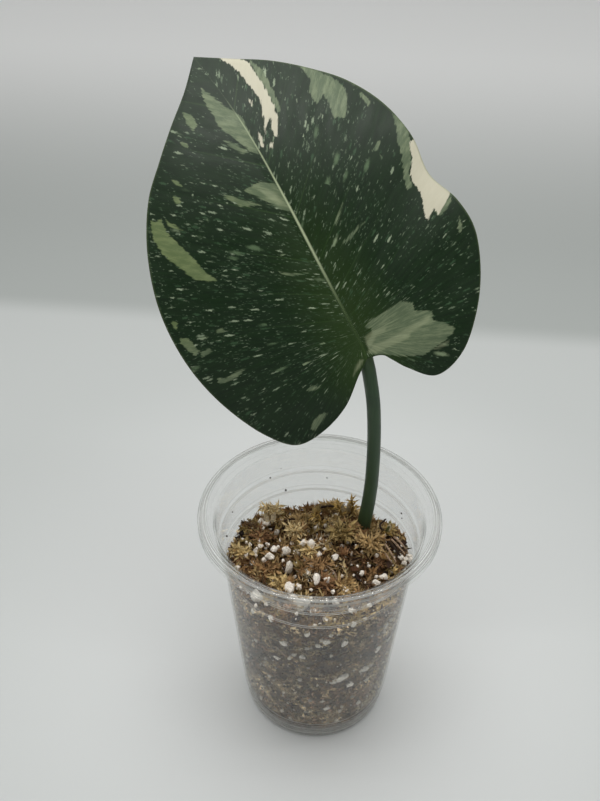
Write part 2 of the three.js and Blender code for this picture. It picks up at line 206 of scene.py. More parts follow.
# Pale moss and dark peat seen through the near wall: pixel, spread in millimetres and gain
WALL_ZONES = [
    ((345, 632), 7, 0.5), ((300, 636), 6, 0.4), ((385, 634), 5, 0.5), ((322, 696), 8, 0.35),
    ((338, 655), 7, -0.55), ((375, 660), 5, -0.3), ((270, 655), 6, -0.2), ((370, 585), 6, -0.2),
    ((358, 700), 8, 0.4), ((262, 640), 5, 0.4), ((268, 695), 7, 0.3), ((385, 605), 5, 0.3),
]

# Perlite grains that show on top of the mix: pixel and width in millimetres
GRAINS_ON_TOP = [
    (261, 522, 2.8), (266, 524, 3.2), (263, 528, 2.4), (277, 532, 2), (304, 543, 3.6), (311, 545, 4.4),
    (286, 551, 4), (296, 552, 3), (317, 528, 2.6), (347, 541, 2.4), (319, 555, 2.4), (335, 557, 2.4),
    (317, 579, 3.8), (327, 580, 3), (384, 577, 2.9), (376, 583, 2.8), (289, 588, 4.8), (299, 587, 2.4),
    (261, 546, 2.6), (268, 545, 2.2), (256, 550, 2.4), (274, 549, 2.8), (250, 545, 2), (270, 556, 3),
    (264, 560, 2), (377, 555, 2.2), (362, 573, 1.8), (322, 540, 1.8), (298, 563, 2), (333, 592, 2.2),
    (345, 590, 2.6), (281, 540, 1.6), (252, 563, 2.2), (246, 556, 2.4), (369, 566, 1.6), (308, 573, 1.6),
    (343, 566, 1.4), (401, 557, 2.2), (406, 559, 2.4), (410, 556, 2), (414, 560, 1.8), (404, 563, 2),
    (278, 547, 1.6), (259, 541, 1.6), (243, 550, 1.6), (292, 543, 1.6), (283, 561, 1.6), (305, 560, 1.4),
    (312, 566, 1.6), (256, 556, 1.8), (325, 549, 1.4),
]

# One that stands upright
UPRIGHT_GRAIN = (289, 568, 5)

# Grains seen through the near wall
GRAINS_AT_WALL = [
    (256, 598, 4.4), (245, 594, 2.8), (303, 607, 5.2), (292, 601, 4.2), (277, 611, 2.6), (353, 613, 3),
    (368, 607, 2.2), (327, 622, 2.8), (326, 643, 3.6), (318, 647, 2), (307, 635, 2.6), (345, 644, 3.2),
    (354, 626, 2.6), (390, 638, 2.4), (365, 670, 4), (340, 680, 5.4), (334, 683, 3), (350, 685, 3),
    (346, 677, 2.6), (327, 709, 3), (302, 658, 2.6), (276, 658, 2.4), (283, 644, 2.6), (378, 650, 3.4),
    (387, 626, 2.2), (272, 620, 2.4), (336, 604, 2.6), (380, 598, 2.6), (359, 703, 2), (252, 612, 2),
    (313, 613, 2.4),
]

# Dark specks on the inside of the far wall
SPECKS_ON_FAR_WALL = [
    (270, 477.6, 0.9), (285.6, 490, 1.1), (302, 509, 0.9), (402, 513, 1), (402.5, 518, 0.9),
    (281, 468.6, 0.6), (327, 477.6, 0.6), (232, 512, 0.8), (226, 536, 1.2),
]

# Places that the moss leaves bare: pixel and radius in millimetres
HOLLOWS = [((356, 568), 4.5), ((395, 551), 5), ((381, 512), 8), ((391, 520), 7)]

# Clumps of moss that stand out: pixel, spread and rise in millimetres, leaflet length and tint
CLUMPS = [
    ((272, 518), 5, 6, 3.2, 6), ((242, 556), 5, 3.5, 3.4, 5), ((262, 540), 6, 3, 3, 1),
    ((300, 524), 6, 4, 3.4, 4), ((333, 514), 6, 5, 3.2, 4), ((344, 536), 6, 4.5, 4.2, 3),
    ((369, 547), 6, 3.5, 4.4, 4), ((318, 568), 6, 3, 3.6, 2), ((404, 540), 3, 2, 2.2, 4),
    ((325, 588), 6, 3, 3.6, 1), ((296, 534), 5, 3.5, 3.6, 6), ((268, 572), 6, 3, 3.8, 2),
    ((352, 520), 5, 4.5, 3.8, 5), ((380, 563), 4, 2, 2.6, 1), ((282, 586), 5, 2.5, 3.4, 5),
    ((345, 592), 5, 2.5, 3.6, 4), ((310, 554), 5, 3, 4, 5), ((390, 532), 3, 2, 2.6, 3),
    ((361, 531), 5, 2.5, 3.2, 4), ((350, 531), 5, 3, 3.2, 2),
]

# Sprigs that stand up beside the stalk: foot and tip in millimetres
STANDING_SPRIGS = [
    ((13, 17), (14, 20, 96)), ((9, 15), (8, 18, 95)), ((26, 8), (29, 9, 88)), ((2, 12), (-2, 14, 92)),
]

# Broad moss leaves that stand up: pixels of foot and tip, height over the mix and width
BROAD_LEAVES = [
    ((347, 512), (354, 494), 5, 2.4), ((345, 512), (336, 500), 5, 2.6), ((349, 514), (347, 503), 5, 2),
    ((272, 522), (276, 509), 4, 2.4), ((268, 522), (264, 511), 4, 2.4), ((388, 531), (391, 521), 4, 2),
]


def srgb(red, green, blue):
    """Linear colour of a screen colour given as 0 to 255."""
    linear = [c / 3294.6 if c < 10.3 else ((c / 255 + 0.055) / 1.055) ** 2.4 for c in (red, green, blue)]
    return (*linear, 1)


def smoothstep(values, low, high):
    share = np.clip((values - low) / (high - low), 0, 1)
    return share * share * (3 - 2 * share)


def spline(points, shares):
    """Points on the uniform Catmull-Rom curve through some points, at shares of its parameter."""
    points = np.asarray(points, float)
    last = len(points) - 1
    place = np.clip(np.asarray(shares, float), 0, 1) * last
    step = np.minimum(place.astype(int), last - 1)
    weight = (place - step)[..., None]
    before, start = points[np.maximum(step - 1, 0)], points[step]
    end, after = points[step + 1], points[np.minimum(step + 2, last)]
    leave, arrive = (end - before) / 2, (after - start) / 2
    return (
        (2 * start - 2 * end + leave + arrive) * weight**3
        + (3 * end - 3 * start - 2 * leave - arrive) * weight**2
        + leave * weight
        + start
    )


def unit(vector):
    return vector / max(np.linalg.norm(vector), 1e-9)


def cloud(point, scale, octaves=3):
    """Smooth noise of about -1 to 1 with features of about the scale, in millimetres."""
    return noise.fractal(Vector(point) / scale, 0.8, 2.0, octaves)


def make_piece(name, points, faces, material, node, attributes=None, smooth=True):
    """Mesh object from points in millimetres round the cup's axis."""
    mesh = bpy.data.meshes.new(name)
    placed = np.asarray(points, float) * MM + np.array(AXIS)
    mesh.from_pydata(placed.tolist(), [], [tuple(int(i) for i in face) for face in faces])
    mesh.update()
    for key, values in (attributes or {}).items():
        values = np.asarray(values, np.float32)
        kind, field = ("FLOAT_VECTOR", "vector") if values.shape[1] == 3 else ("FLOAT_COLOR", "color")
        mesh.attributes.new(key, kind, "POINT").data.foreach_set(field, values.ravel())
    mesh.materials.append(material)
    mesh.polygons.foreach_set("use_smooth", [smooth] * len(mesh.polygons))
    piece = bpy.data.objects.new(name, mesh)
    bpy.context.scene.collection.objects.link(piece)
    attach(piece, "root")
    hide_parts(node)
    return piece


class Heap:
    """Many small shapes gathered into one mesh, each with its own colour."""

    def __init__(self):
        self.points, self.faces, self.colours = [], [], []

    def add(self, points, faces, colour):
        start = len(self.points)
        self.points.extend(tuple(point) for point in points)
        self.faces.extend(tuple(start + i for i in face) for face in faces)
        self.colours.extend([colour] * len(points))

    def press_inside(self, clearance):
        """Press what would pass the cup's wall flat against its inside."""
        points = np.array(self.points)
        reach = np.hypot(points[:, 0], points[:, 1])
        share = np.minimum(1, (inner_radius(points[:, 2]) - clearance) / np.maximum(reach, 1e-6))
        points[:, :2] *= share[:, None]
        self.points = points

    def make(self, name, material, node="substrate", smooth=True):
        attributes = {"tint": self.colours}
        make_piece(name, self.points, self.faces, material, node, attributes, smooth)


class Shader:
    """A node tree, built call by call. Sockets take a value or another node's output."""

    def __init__(self, name, kind="materials"):
        self.owner = getattr(bpy.data, kind).new(name)
        self.owner.use_nodes = True
        self.tree = self.owner.node_tree
        self.tree.nodes.clear()

    def node(self, kind, inputs=None, **settings):
        node = self.tree.nodes.new("ShaderNode" + kind)
        for key, value in settings.items():
            setattr(node, key, value)
        for key, value in (inputs or {}).items():
            self.feed(node.inputs[key], value)
        return node

    def feed(self, socket, value):
        if isinstance(value, bpy.types.NodeSocket):
            self.tree.links.new(value, socket)
        else:
            socket.default_value = value

    def attribute(self, name, output="Vector"):
        return self.node("Attribute", attribute_name=name).outputs[output]

    def position(self):
        return self.node("TexCoord").outputs["Object"]

    def parts(self, vector):
        return self.node("SeparateXYZ", {0: vector}).outputs

    def math(self, operation, first, second=0.0, third=0.0):
        return self.node("Math", {0: first, 1: second, 2: third}, operation=operation).outputs[0]

    def plus(self, first, second):
        return self.math("ADD", first, second)

    def minus(self, first, second):
        return self.math("SUBTRACT", first, second)

    def times(self, first, second):
        return self.math("MULTIPLY", first, second)

    def step(self, value, low, high, start=0.0, end=1.0, shape="SMOOTHSTEP"):
        """Smooth or linear step of a value from low to high."""
        inputs = {0: value, 1: low, 2: high, 3: start, 4: end}
        return self.node("MapRange", inputs, interpolation_type=shape).outputs[0]

    def vectors(self, operation, first, second, third=(0, 0, 0)):
        return self.node("VectorMath", {0: first, 1: second, 2: third}, operation=operation).outputs

    def stretch(self, vector, x, y, z):
        return self.vectors("MULTIPLY", vector, (x, y, z))[0]

    def noise(self, vector, scale, detail=2.0, roughness=0.5, output="Fac"):
        inputs = {"Vector": vector, "Scale": scale, "Detail": detail, "Roughness": roughness}
        return self.node("TexNoise", inputs).outputs[output]

    def cells(self, vector, scale):
        node = self.node("TexVoronoi", {"Vector": vector, "Scale": scale})
        return node.outputs["Distance"], node.outputs["Color"]

    def mix(self, share, first, second):
        return self.node("Mix", {0: share, 6: first, 7: second}, data_type="RGBA").outputs[2]

    def bump(self, height, strength, distance):
        return self.node("Bump", {"Height": height, "Strength": strength, "Distance": distance}).outputs[0]

    def surface(self, **inputs):
        """Principled surface; names use underscores for spaces."""
        named = {key.replace("_", " "): value for key, value in inputs.items()}
        return self.node("BsdfPrincipled", named).outputs[0]

    def blend(self, share, first, second):
        return self.node("MixShader", {0: share, 1: first, 2: second}).outputs[0]

    def milk(self, colour, normal):
        """Matter that scatters half of its light back and lets half through."""
        inputs = {"Color": colour, "Normal": normal}
        front = self.node("BsdfDiffuse", inputs).outputs[0]
        behind = self.node("BsdfTranslucent", inputs).outputs[0]
        return self.blend(0.5, front, behind)

    def finish(self, shader):
        self.node("OutputMaterial", {"Surface": shader})
        return self.owner


def leaf_material():
    """Dark satin leaf with speckles along its veins, sage and cream marks and a pale midrib.

    blade holds millimetres across and along the blade and 1 below; vein holds millimetres along and
    across the lateral veins and the share of the way to the margin; marks holds the distances to
    cream marks, sage marks and the midrib; pale holds the distance to the pale marks.
    """
    leaf = Shader("leaf")
    blade = leaf.attribute("blade")
    across, along, under = leaf.parts(blade)
    vein = leaf.attribute("vein")
    out, beside, share = leaf.parts(vein)
    cream_distance, sage_distance, rib_distance = leaf.parts(leaf.attribute("marks"))
    pale_distance = leaf.parts(leaf.attribute("pale"))[0]

    # Ragged edges of the marks follow the veins
    feather = leaf.noise(leaf.stretch(vein, 0.18, 0.9, 0), 1.0, 3, 0.6)
    ragged = leaf.math("MULTIPLY_ADD", feather, 3.2, -1.6)

    def marked(distance, raggedness, outer, inner, most=1.0):
        return leaf.step(leaf.plus(distance, leaf.times(ragged, raggedness)), outer, inner, 0, most)

    cream = marked(cream_distance, 0.8, 0.25, -0.25)
    sage = marked(sage_distance, 0.85, 0.3, -0.3)
    pale = marked(pale_distance, 0.6, 0.7, -0.6, 0.38)

    # Speckles: cells drawn out along the veins, of which some hold a spot of their own size
    wobble = leaf.vectors("SUBTRACT", leaf.noise(vein, 0.9, 2, 0.6, "Color"), (0.5, 0.5, 0.5))[0]
    bent = leaf.vectors("MULTIPLY_ADD", wobble, (2.6, 1.3, 0), vein)[0]
    crowd = leaf.noise(blade, 0.05, 2)
    off_middle = leaf.vectors("DISTANCE", blade, (-18, 62, 0))["Value"]
    crowding = leaf.step(off_middle, 20, 75, 0.1, -0.2)

    def speckles(along_scale, across_scale, share, size):
        distance, cell = leaf.cells(leaf.stretch(bent, along_scale, across_scale, 0), 1.0)
        chance, width, shade = leaf.parts(cell)
        threshold = leaf.plus(leaf.math("MULTIPLY_ADD", crowd, 1.8, share - 0.9), crowding)
        present = leaf.math("LESS_THAN", chance, threshold)
        reach = leaf.math("MULTIPLY_ADD", leaf.times(width, width), size, 0.08)
        spot = leaf.step(leaf.minus(distance, reach), 0.2, -0.1)
        return leaf.times(spot, present), shade

    fine, fine_shade = speckles(0.23, 0.78, 0.5, 0.27)
    dust, dust_shade = speckles(0.6, 1.6, 0.56, 0.25)
    large, large_shade = speckles(0.1, 0.26, 0.16, 0.17)

    # Ground colour
    ground_noise = leaf.noise(leaf.stretch(vein, 0.1, 0.6, 0), 1.0, 3)
    dark = leaf.mix(ground_noise, srgb(12, 26, 14), srgb(29, 52, 26))
    near_base = leaf.times(leaf.step(rib_distance, 24, 0), leaf.step(along, 90, 5))
    ground = leaf.mix(leaf.times(near_base, 0.7), dark, srgb(44, 64, 24))
    side_vein = leaf.math("PINGPONG", beside, 9.0)
    vein_line = leaf.times(leaf.step(side_vein, 0.45, 0.1), leaf.step(out, 45, 4))
    ground = leaf.mix(leaf.times(vein_line, 0.3), ground, srgb(62, 88, 46))

    # Marks over it
    dust_colour = leaf.mix(dust_shade, srgb(70, 92, 70), srgb(128, 146, 120))
    fine_bright = leaf.math("POWER", fine_shade, 3.6)
    fine_colour = leaf.mix(fine_bright, srgb(56, 82, 56), srgb(164, 178, 150))
    large_colour = leaf.mix(large_shade, srgb(84, 106, 76), srgb(130, 146, 114))
    colour = leaf.mix(leaf.times(dust, 0.6), ground, dust_colour)
    colour = leaf.mix(leaf.times(fine, 0.8), colour, fine_colour)
    colour = leaf.mix(large, colour, large_colour)
    streaks = leaf.noise(leaf.stretch(vein, 0.14, 0.5, 0), 1.0, 5, 0.7)
    yellowing = leaf.times(leaf.step(across, 10, -50), leaf.step(along, 30, 50))
    sage_dark = leaf.mix(yellowing, srgb(88, 103, 78), srgb(98, 114, 74))
    sage_light = leaf.mix(yellowing, srgb(122, 134, 104), srgb(120, 134, 90))
    colour = leaf.mix(sage, colour, leaf.mix(leaf.step(streaks, 0.38, 0.7), sage_dark, sage_light))
    colour = leaf.mix(pale, colour, leaf.mix(streaks, srgb(146, 156, 120), srgb(178, 184, 150)))
    colour = leaf.mix(cream, colour, leaf.mix(streaks, srgb(190, 187, 164), srgb(206, 202, 182)))

    # Midrib: pale and thin towards the tip, green at the foot. The margin is a little paler too.
    rib_width = leaf.step(along, 105, 40, 0.1, 0.42)
    rib = leaf.step(leaf.minus(rib_distance, rib_width), 0.3, -0.3)
    rib_colour = leaf.mix(leaf.step(along, 10, 45), srgb(92, 120, 58), srgb(184, 196, 158))
    rib_ends = leaf.times(leaf.step(along, 112, 94, 0.04, 0.95), leaf.step(along, 10, 52, 0.1, 1))
    colour = leaf.mix(leaf.times(rib, rib_ends), colour, rib_colour)
    colour = leaf.mix(leaf.step(share, 0.985, 1.0, 0, 0.4), colour, srgb(96, 112, 74))

    # The underside is the same blade seen duller and paler
    below = leaf.mix(0.45, colour, srgb(96, 118, 86))
    colour = leaf.mix(under, colour, below)

    grain = leaf.noise(leaf.stretch(vein, 0.5, 2.2, 0), 1.0, 4, 0.6)
    groove = leaf.step(side_vein, 2.6, 0.0, 0.0, -1.0)
    relief = leaf.math("MULTIPLY_ADD", grain, 0.22, leaf.times(groove, 0.35))
    patches = leaf.noise(leaf.stretch(vein, 0.08, 0.2, 0), 1.0, 2)
    return leaf.finish(leaf.surface(
        Base_Color=colour, Roughness=leaf.step(patches, 0.3, 0.7, 0.36, 0.48),
        Specular_IOR_Level=leaf.step(along, 80, 125, 0.23, 0.36), Normal=leaf.bump(relief, 0.25, 0.0005),
        Subsurface_Weight=0.05, Subsurface_Radius=(0.15, 0.15, 0.12), Subsurface_Scale=0.001,
    ))


def stalk_material():
    """Smooth dark green stalk with fine lengthwise streaks, browner at its foot."""
    stalk = Shader("stalk")
    place = stalk.position()
    streaks = stalk.noise(stalk.stretch(place, 1400, 1400, 60), 1.0, 3, 0.6)
    blotches = stalk.noise(place, 120, 2)
    colour = stalk.mix(streaks, srgb(36, 60, 38), srgb(58, 84, 54))
    colour = stalk.mix(stalk.step(blotches, 0.45, 0.75, 0, 0.5), colour, srgb(44, 62, 50))
    height = stalk.parts(place)[2]
    colour = stalk.mix(stalk.step(height, 0.100, 0.084, 0, 0.5), colour, srgb(70, 76, 44))
    colour = stalk.mix(stalk.step(height, 0.166, 0.176, 0, 0.5), colour, srgb(74, 98, 52))
    return stalk.finish(stalk.surface(
        Base_Color=colour, Roughness=stalk.step(blotches, 0.2, 0.8, 0.34, 0.5),
        Normal=stalk.bump(streaks, 0.25, 0.0003), Specular_IOR_Level=0.45,
    ))


def plastic_material():
    """Thin clear plastic: mirrors and darkens at a grazing view, clouded by scuffs and mist.

    Its formed corners carry painted shade, grey at the rim, and painted highlights, pale below it, so the
    rings of the wall show as thin pale lines.
    """
    plastic = Shader("clear_plastic")
    place = plastic.position()
    height = plastic.parts(place)[2]
    at_rim = plastic.step(height, 0.106, 0.108)
    ripple = plastic.noise(plastic.stretch(place, 60, 60, 16), 1.0, 2)
    scuffs = plastic.noise(plastic.stretch(place, 260, 260, 700), 1.0, 4, 0.7)
    normal = plastic.bump(ripple, 0.08, 0.002)
    glancing = plastic.node("LayerWeight", {"Blend": 0.5, "Normal": normal}).outputs["Facing"]
    mirror = plastic.math("MULTIPLY_ADD", plastic.math("POWER", glancing, 5.0), 0.5, 0.04)
    near_top = plastic.step(height, 0.099, 0.104)
    dark = plastic.mix(near_top, (0.88, 0.88, 0.87, 1), (0.42, 0.44, 0.43, 1))
    through = plastic.mix(plastic.step(glancing, 0.66, 0.96), (0.985, 0.988, 0.985, 1), dark)
    clear = plastic.node("BsdfTransparent", {"Color": through}).outputs[0]
    gloss = {"Color": (1, 1, 1, 1), "Roughness": 0.06, "Normal": normal}
    body = plastic.blend(mirror, clear, plastic.node("BsdfGlossy", gloss).outputs[0])

    # Haze, thicker below the shoulder and at the foot, and painted highlights as pale lines on the ring
    # ridges
    at_foot = plastic.step(height, 0.0086, 0.008, 0, 0.13)
    mist = plastic.plus(plastic.step(height, 0.06, 0.088, 0.068, 0.03), at_foot)
    haze_and_ring_highlights = plastic.times(plastic.step(scuffs, 0.3, 0.7, 0.5, 1.5), mist)
    for line_height, strength in RING_HIGHLIGHTS:
        off_line = plastic.math("ABSOLUTE", plastic.minus(height, line_height * MM))
        ring_highlight = plastic.times(plastic.step(off_line, 0.00035, 0.00012), strength)
        haze_and_ring_highlights = plastic.math("MAXIMUM", haze_and_ring_highlights, ring_highlight)
    hazy_with_highlights = plastic.blend(haze_and_ring_highlights, body, plastic.milk((0.94, 0.93, 0.9, 1), normal))

    # Corners: painted shade, strong and grey at the rim, and painted highlights, faint and pale below it
    bend = plastic.parts(plastic.attribute("bend"))[0]
    bare = plastic.step(height, 0.106, 0.108, 0.16, 1)
    painted_bend_lines = plastic.times(plastic.step(bend, 0.06, 0.7, 0, 0.5), bare)
    tone = plastic.mix(at_rim, (0.95, 0.94, 0.91, 1), (0.6, 0.61, 0.59, 1))
    return plastic.finish(plastic.blend(painted_bend_lines, hazy_with_highlights, plastic.milk(tone, normal)))


def tinted_material(name, roughness, grain_scale, grain_depth=0.0004, contrast=0.35, bump=0.5):
    """Rough natural matter: each bit's own tint, mottled and grained."""
    shader = Shader(name)
    grain = shader.noise(shader.position(), grain_scale, 4, 0.65)
    shade = shader.step(grain, 0.3, 0.7, 1 - contrast, 1 + contrast)
    scaled = {0: shader.attribute("tint", "Color"), 3: shade}
    return shader.finish(shader.surface(
        Base_Color=shader.node("VectorMath", scaled, operation="SCALE").outputs[0],
        Roughness=shader.step(grain, 0.2, 0.8, roughness - 0.1, roughness + 0.1),
        Normal=shader.bump(grain, bump, grain_depth), Specular_IOR_Level=0.3,
    ))


def soil_material():
    """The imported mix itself: dark peat with tan moss showing in patches and pale dust."""
    soil = Shader("potting_mix")
    place = soil.position()
    patches = soil.noise(place, 110, 4, 0.6)
    fibres = soil.noise(soil.stretch(place, 500, 500, 1300), 1.0, 4, 0.7)
    peat = soil.mix(soil.step(fibres, 0.35, 0.65), srgb(42, 28, 16), srgb(104, 76, 42))
    moss = soil.mix(fibres, srgb(92, 62, 28), srgb(158, 124, 74))
    colour = soil.mix(soil.step(patches, 0.5, 0.68), peat, moss)
    distance, _ = soil.cells(place, 420)
    colour = soil.mix(soil.step(distance, 0.16, 0.08), colour, srgb(172, 164, 150))
    rough = soil.step(fibres, 0.3, 0.7, 0.75, 0.95)
    normal = soil.bump(fibres, 0.8, 0.0012)
    return soil.finish(soil.surface(Base_Color=colour, Roughness=rough, Normal=normal))


def root_material():
    root = Shader("root")
    place = root.position()
    grain = root.noise(root.stretch(place, 900, 900, 200), 1.0, 4, 0.6)
    colour = root.mix(grain, srgb(150, 122, 78), srgb(206, 186, 146))
    rough = root.step(grain, 0.2, 0.8, 0.6, 0.85)
    normal = root.bump(grain, 0.5, 0.0004)
    return root.finish(root.surface(Base_Color=colour, Roughness=rough, Normal=normal))


def blade_axes():
    """Directions across and along the blade and out of its upper face."""
    turned = Matrix.Rotation(math.pi / 2 - LEAN_BACK, 3, "X") @ Matrix.Rotation(ROLL, 3, "Z")
    return [np.array(turned.col[i]) for i in range(3)]


ACROSS, ALONG, UPPER = blade_axes()


def blade_depth(across, along):
    tip_curl = 0.0036 * np.maximum(0, along - 55) ** 2
    keel = 1.6 * (1 - np.exp(-np.abs(across) / 9)) * (1 - smoothstep(along, 40, 105))
    return keel - tip_curl - 0.0018 * across**2 - 0.012 * np.minimum(0, along) ** 2


def margin_wave(side, around):
    height, turn, start = (1.3, 15, 0.4) if side < 0 else (1.5, 17, -1.1)
    ripple = height * np.sin(turn * around + start) * np.sin(math.pi * np.minimum(1, 1.04 * around))
    return ripple if side < 0 else ripple - 3.2 * np.exp(-(((around - 0.57) / 0.07) ** 2))


def blade_point(across, along, depth):
    across, along, depth = (np.asarray(values)[..., None] for values in (across, along, depth))
    return LEAF_BASE + across * ACROSS + along * ALONG + depth * UPPER


def photo_ray(column, row):
    """Direction of the ray from the camera through a pixel of the photograph."""
    right, down = column - PICTURE[0] / 2, row - PICTURE[1] / 2
    turned_right = math.cos(CAMERA_ROLL) * right + math.sin(CAMERA_ROLL) * down
    turned_down = math.cos(CAMERA_ROLL) * down - math.sin(CAMERA_ROLL) * right
    forward = np.array([0, math.cos(PITCH), -math.sin(PITCH)])
    upward = np.array([0, math.sin(PITCH), math.cos(PITCH)])
    return forward * FOCAL_PIXELS + np.array([1, 0, 0]) * turned_right - upward * turned_down


def on_blade(column, row):
    """Place across and along the blade that a pixel of the photograph shows."""
    ray = photo_ray(column, row)
    depth = 0.0
    for _ in range(6):
        reach = (np.dot(LEAF_BASE - CAMERA, UPPER) + depth) / np.dot(ray, UPPER)
        offset = CAMERA + reach * ray - LEAF_BASE
        across, along = np.dot(offset, ACROSS), np.dot(offset, ALONG)
        depth = float(blade_depth(across, along))
    return across, along


def outline_distance(points, outline):
    """Distance of each point to a closed outline, negative inside it."""
    best = np.full(len(points), np.inf)
    inside = np.zeros(len(points), bool)
    for start, end in zip(outline, np.roll(outline, -1, axis=0)):
        edge = end - start
        share = np.clip((points - start) @ edge / (edge @ edge), 0, 1)
        best = np.minimum(best, np.linalg.norm(points - start - share[:, None] * edge, axis=1))
        crosses = (start[1] > points[:, 1]) != (end[1] > points[:, 1])
        rise = edge[1] if edge[1] else 1e-9
        inside ^= crosses & (points[:, 0] < start[0] + (points[:, 1] - start[1]) * edge[0] / rise)
    return np.where(inside, -best, best)


def marks_distance(points, marks):
    outlines = [np.array([on_blade(*pixel) for pixel in mark]) for mark in marks]
    return np.min([outline_distance(points, outline) for outline in outlines], axis=0)


def rib_distance(points):
    rib = spline([(-2, -3), *MIDRIB], np.linspace(0, 1, 900))
    return np.min([np.linalg.norm(points - place, axis=1) for place in rib], axis=0)


def make_leaf():
    """The blade as a fine grid of veins on both faces, split alike."""
    around = np.linspace(0, 1, BLADE_COLUMNS + 1)
    shares = np.linspace(0, 1, BLADE_ROWS + 1)
    root_share = np.maximum(0, (around - LOBE_SHARE) / (1 - LOBE_SHARE)) ** VEIN_BUNCHING
    roots = spline(MIDRIB, root_share)
    points, blade, veins, plans, faces = [], [], [], [], []
    start = 0
    for side in (-1, 1):
        edges = spline(LEFT_MARGIN if side < 0 else RIGHT_MARGIN, around)
        plan = roots[:, None] + (edges - roots)[:, None] * shares[None, :, None]
        across, along = plan[..., 0], plan[..., 1]
        out = np.linalg.norm(edges - roots, axis=1)[:, None] * shares
        middle = blade_depth(across, along) + margin_wave(side, around)[:, None] * shares**2
        half = 0.3 - 0.17 * smoothstep(shares, 0.9, 1.0)[None, :]
        rib_bulge = np.exp(-((out / 1.5) ** 2)) * (1 - 0.85 * root_share)[:, None]
        beside = side * (40 + MARGIN_LENGTH * around)[:, None] * np.ones_like(shares)
        for under, depth in ((0, middle + half), (1, middle - half - 2.0 * rib_bulge)):
            points.append(blade_point(across, along, depth).reshape(-1, 3))
            blade.append(np.stack([across, along, np.full_like(across, under)], -1).reshape(-1, 3))
            veins.append(np.stack([out, beside, np.ones_like(across) * shares], -1).reshape(-1, 3))
            plans.append(plan.reshape(-1, 2))
        size = (BLADE_COLUMNS + 1) * (BLADE_ROWS + 1)
        cell = np.arange(size).reshape(BLADE_COLUMNS + 1, BLADE_ROWS + 1) + start
        a, b, c, d = cell[:-1, :-1], cell[:-1, 1:], cell[1:, 1:], cell[1:, :-1]
        upper = np.stack([a, b, c, d] if side > 0 else [a, d, c, b], -1).reshape(-1, 4)
        faces.extend(upper)
        faces.extend(upper[:, ::-1] + size)
        rim = np.stack([cell[:-1, -1], cell[:-1, -1] + size, cell[1:, -1] + size, cell[1:, -1]], -1)
        faces.extend(rim if side > 0 else rim[:, ::-1])
        start += 2 * size
    flat = np.concatenate(plans)
    marks = [marks_distance(flat, CREAM_MARKS), marks_distance(flat, SAGE_MARKS), rib_distance(flat)]
    attributes = {
        "blade": np.concatenate(blade),
        "vein": np.concatenate(veins),
        "marks": np.stack(marks, -1),
        "pale": np.stack([marks_distance(flat, PALE_MARKS)] * 3, -1),
    }
    points = np.concatenate(points)
    leaf = make_piece("leaf", points, faces, leaf_material(), "leaf_blade", attributes)
    weld = leaf.modifiers.new("weld", "WELD")
    weld.merge_threshold = 0.02 * MM


def around_axis(radius, turn, height):
    """Place at a radius, an angle and a height round the cup's axis."""
    return np.array([radius * math.cos(turn), radius * math.sin(turn), height])


def ring_faces(rings, sides):
    """Faces between neighbours of some closed rings of points."""
    cell = np.arange(rings * sides).reshape(rings, sides)
    beside = np.roll(cell, -1, axis=1)
    return np.stack([cell[:-1], beside[:-1], beside[1:], cell[1:]], -1).reshape(-1, 4).tolist()


def tube(path, radii, sides, steps):
    """Points and faces of a tapered round rod along a smooth path, closed at its ends."""
    shares = np.linspace(0, 1, steps + 1)
    centres = spline(path, shares)
    widths = np.interp(shares, np.linspace(0, 1, len(radii)), radii)
    tangents = np.gradient(centres, axis=0)
    tangents /= np.linalg.norm(tangents, axis=1)[:, None]
    start = np.cross(tangents[0], [0.31, 0.87, 0.38])
    points = []
    for centre, width, tangent in zip(centres, widths, tangents):
        start = start - tangent * np.dot(start, tangent)
        start = start / np.linalg.norm(start)
        other = np.cross(tangent, start)
        for j in range(sides):
            turn = 2 * math.pi * j / sides
            points.append(centre + width * (math.cos(turn) * start + math.sin(turn) * other))
    ends = [tuple(range(sides))[::-1], tuple(steps * sides + j for j in range(sides))]
    return points, ends + ring_faces(steps + 1, sides)


def make_stalk():
    """The stalk, whose top lies against the blade's underside and runs out along the midrib."""
    points, faces = tube(STALK, STALK_RADII, sides=32, steps=110)
    offset = np.array(points) - LEAF_BASE
    across, along, depth = offset @ ACROSS, offset @ ALONG, offset @ UPPER
    allowed = blade_depth(across, along) - 0.35
    depth = np.where(along > -4, np.minimum(depth, allowed), depth)
    make_piece("stalk", blade_point(across, along, depth), faces, stalk_material(), "petiole")


def make_roots():
    heap = Heap()
    white = (1, 1, 1, 1)
    heap.add(*tube(STEM, STEM_RADII, sides=20, steps=24), white)
    for root in ROOTS_FROM_START:
        heap.add(*tube(np.array(root) + ROOT_START, ROOT_RADII, sides=12, steps=40), white)
    heap.make("stem_with_roots", root_material(), "stem_and_roots")


def wall_radius(height):
    return BASE_RADIUS + 0.75 + WALL_SLOPE * height


# The inside of the cup from its foot up: height and radius
INSIDE = [
    (0, BASE_RADIUS - WALL), (STEP_HEIGHT - 1.1, BASE_RADIUS),
    (STEP_HEIGHT + 0.6, wall_radius(STEP_HEIGHT) - WALL),
    (SHOULDER_HEIGHT, wall_radius(SHOULDER_HEIGHT) - WALL), (SHOULDER_HEIGHT + 2, RIM_RADIUS - 9.2),
    (SHOULDER_HEIGHT + 10.6, RIM_RADIUS - 8.8), (SHOULDER_HEIGHT + 12, RIM_RADIUS - 7.8),
    (CUP_HEIGHT - 4, RIM_RADIUS - 6.8),
]


def inner_radius(height):
    return np.interp(height, *zip(*INSIDE))


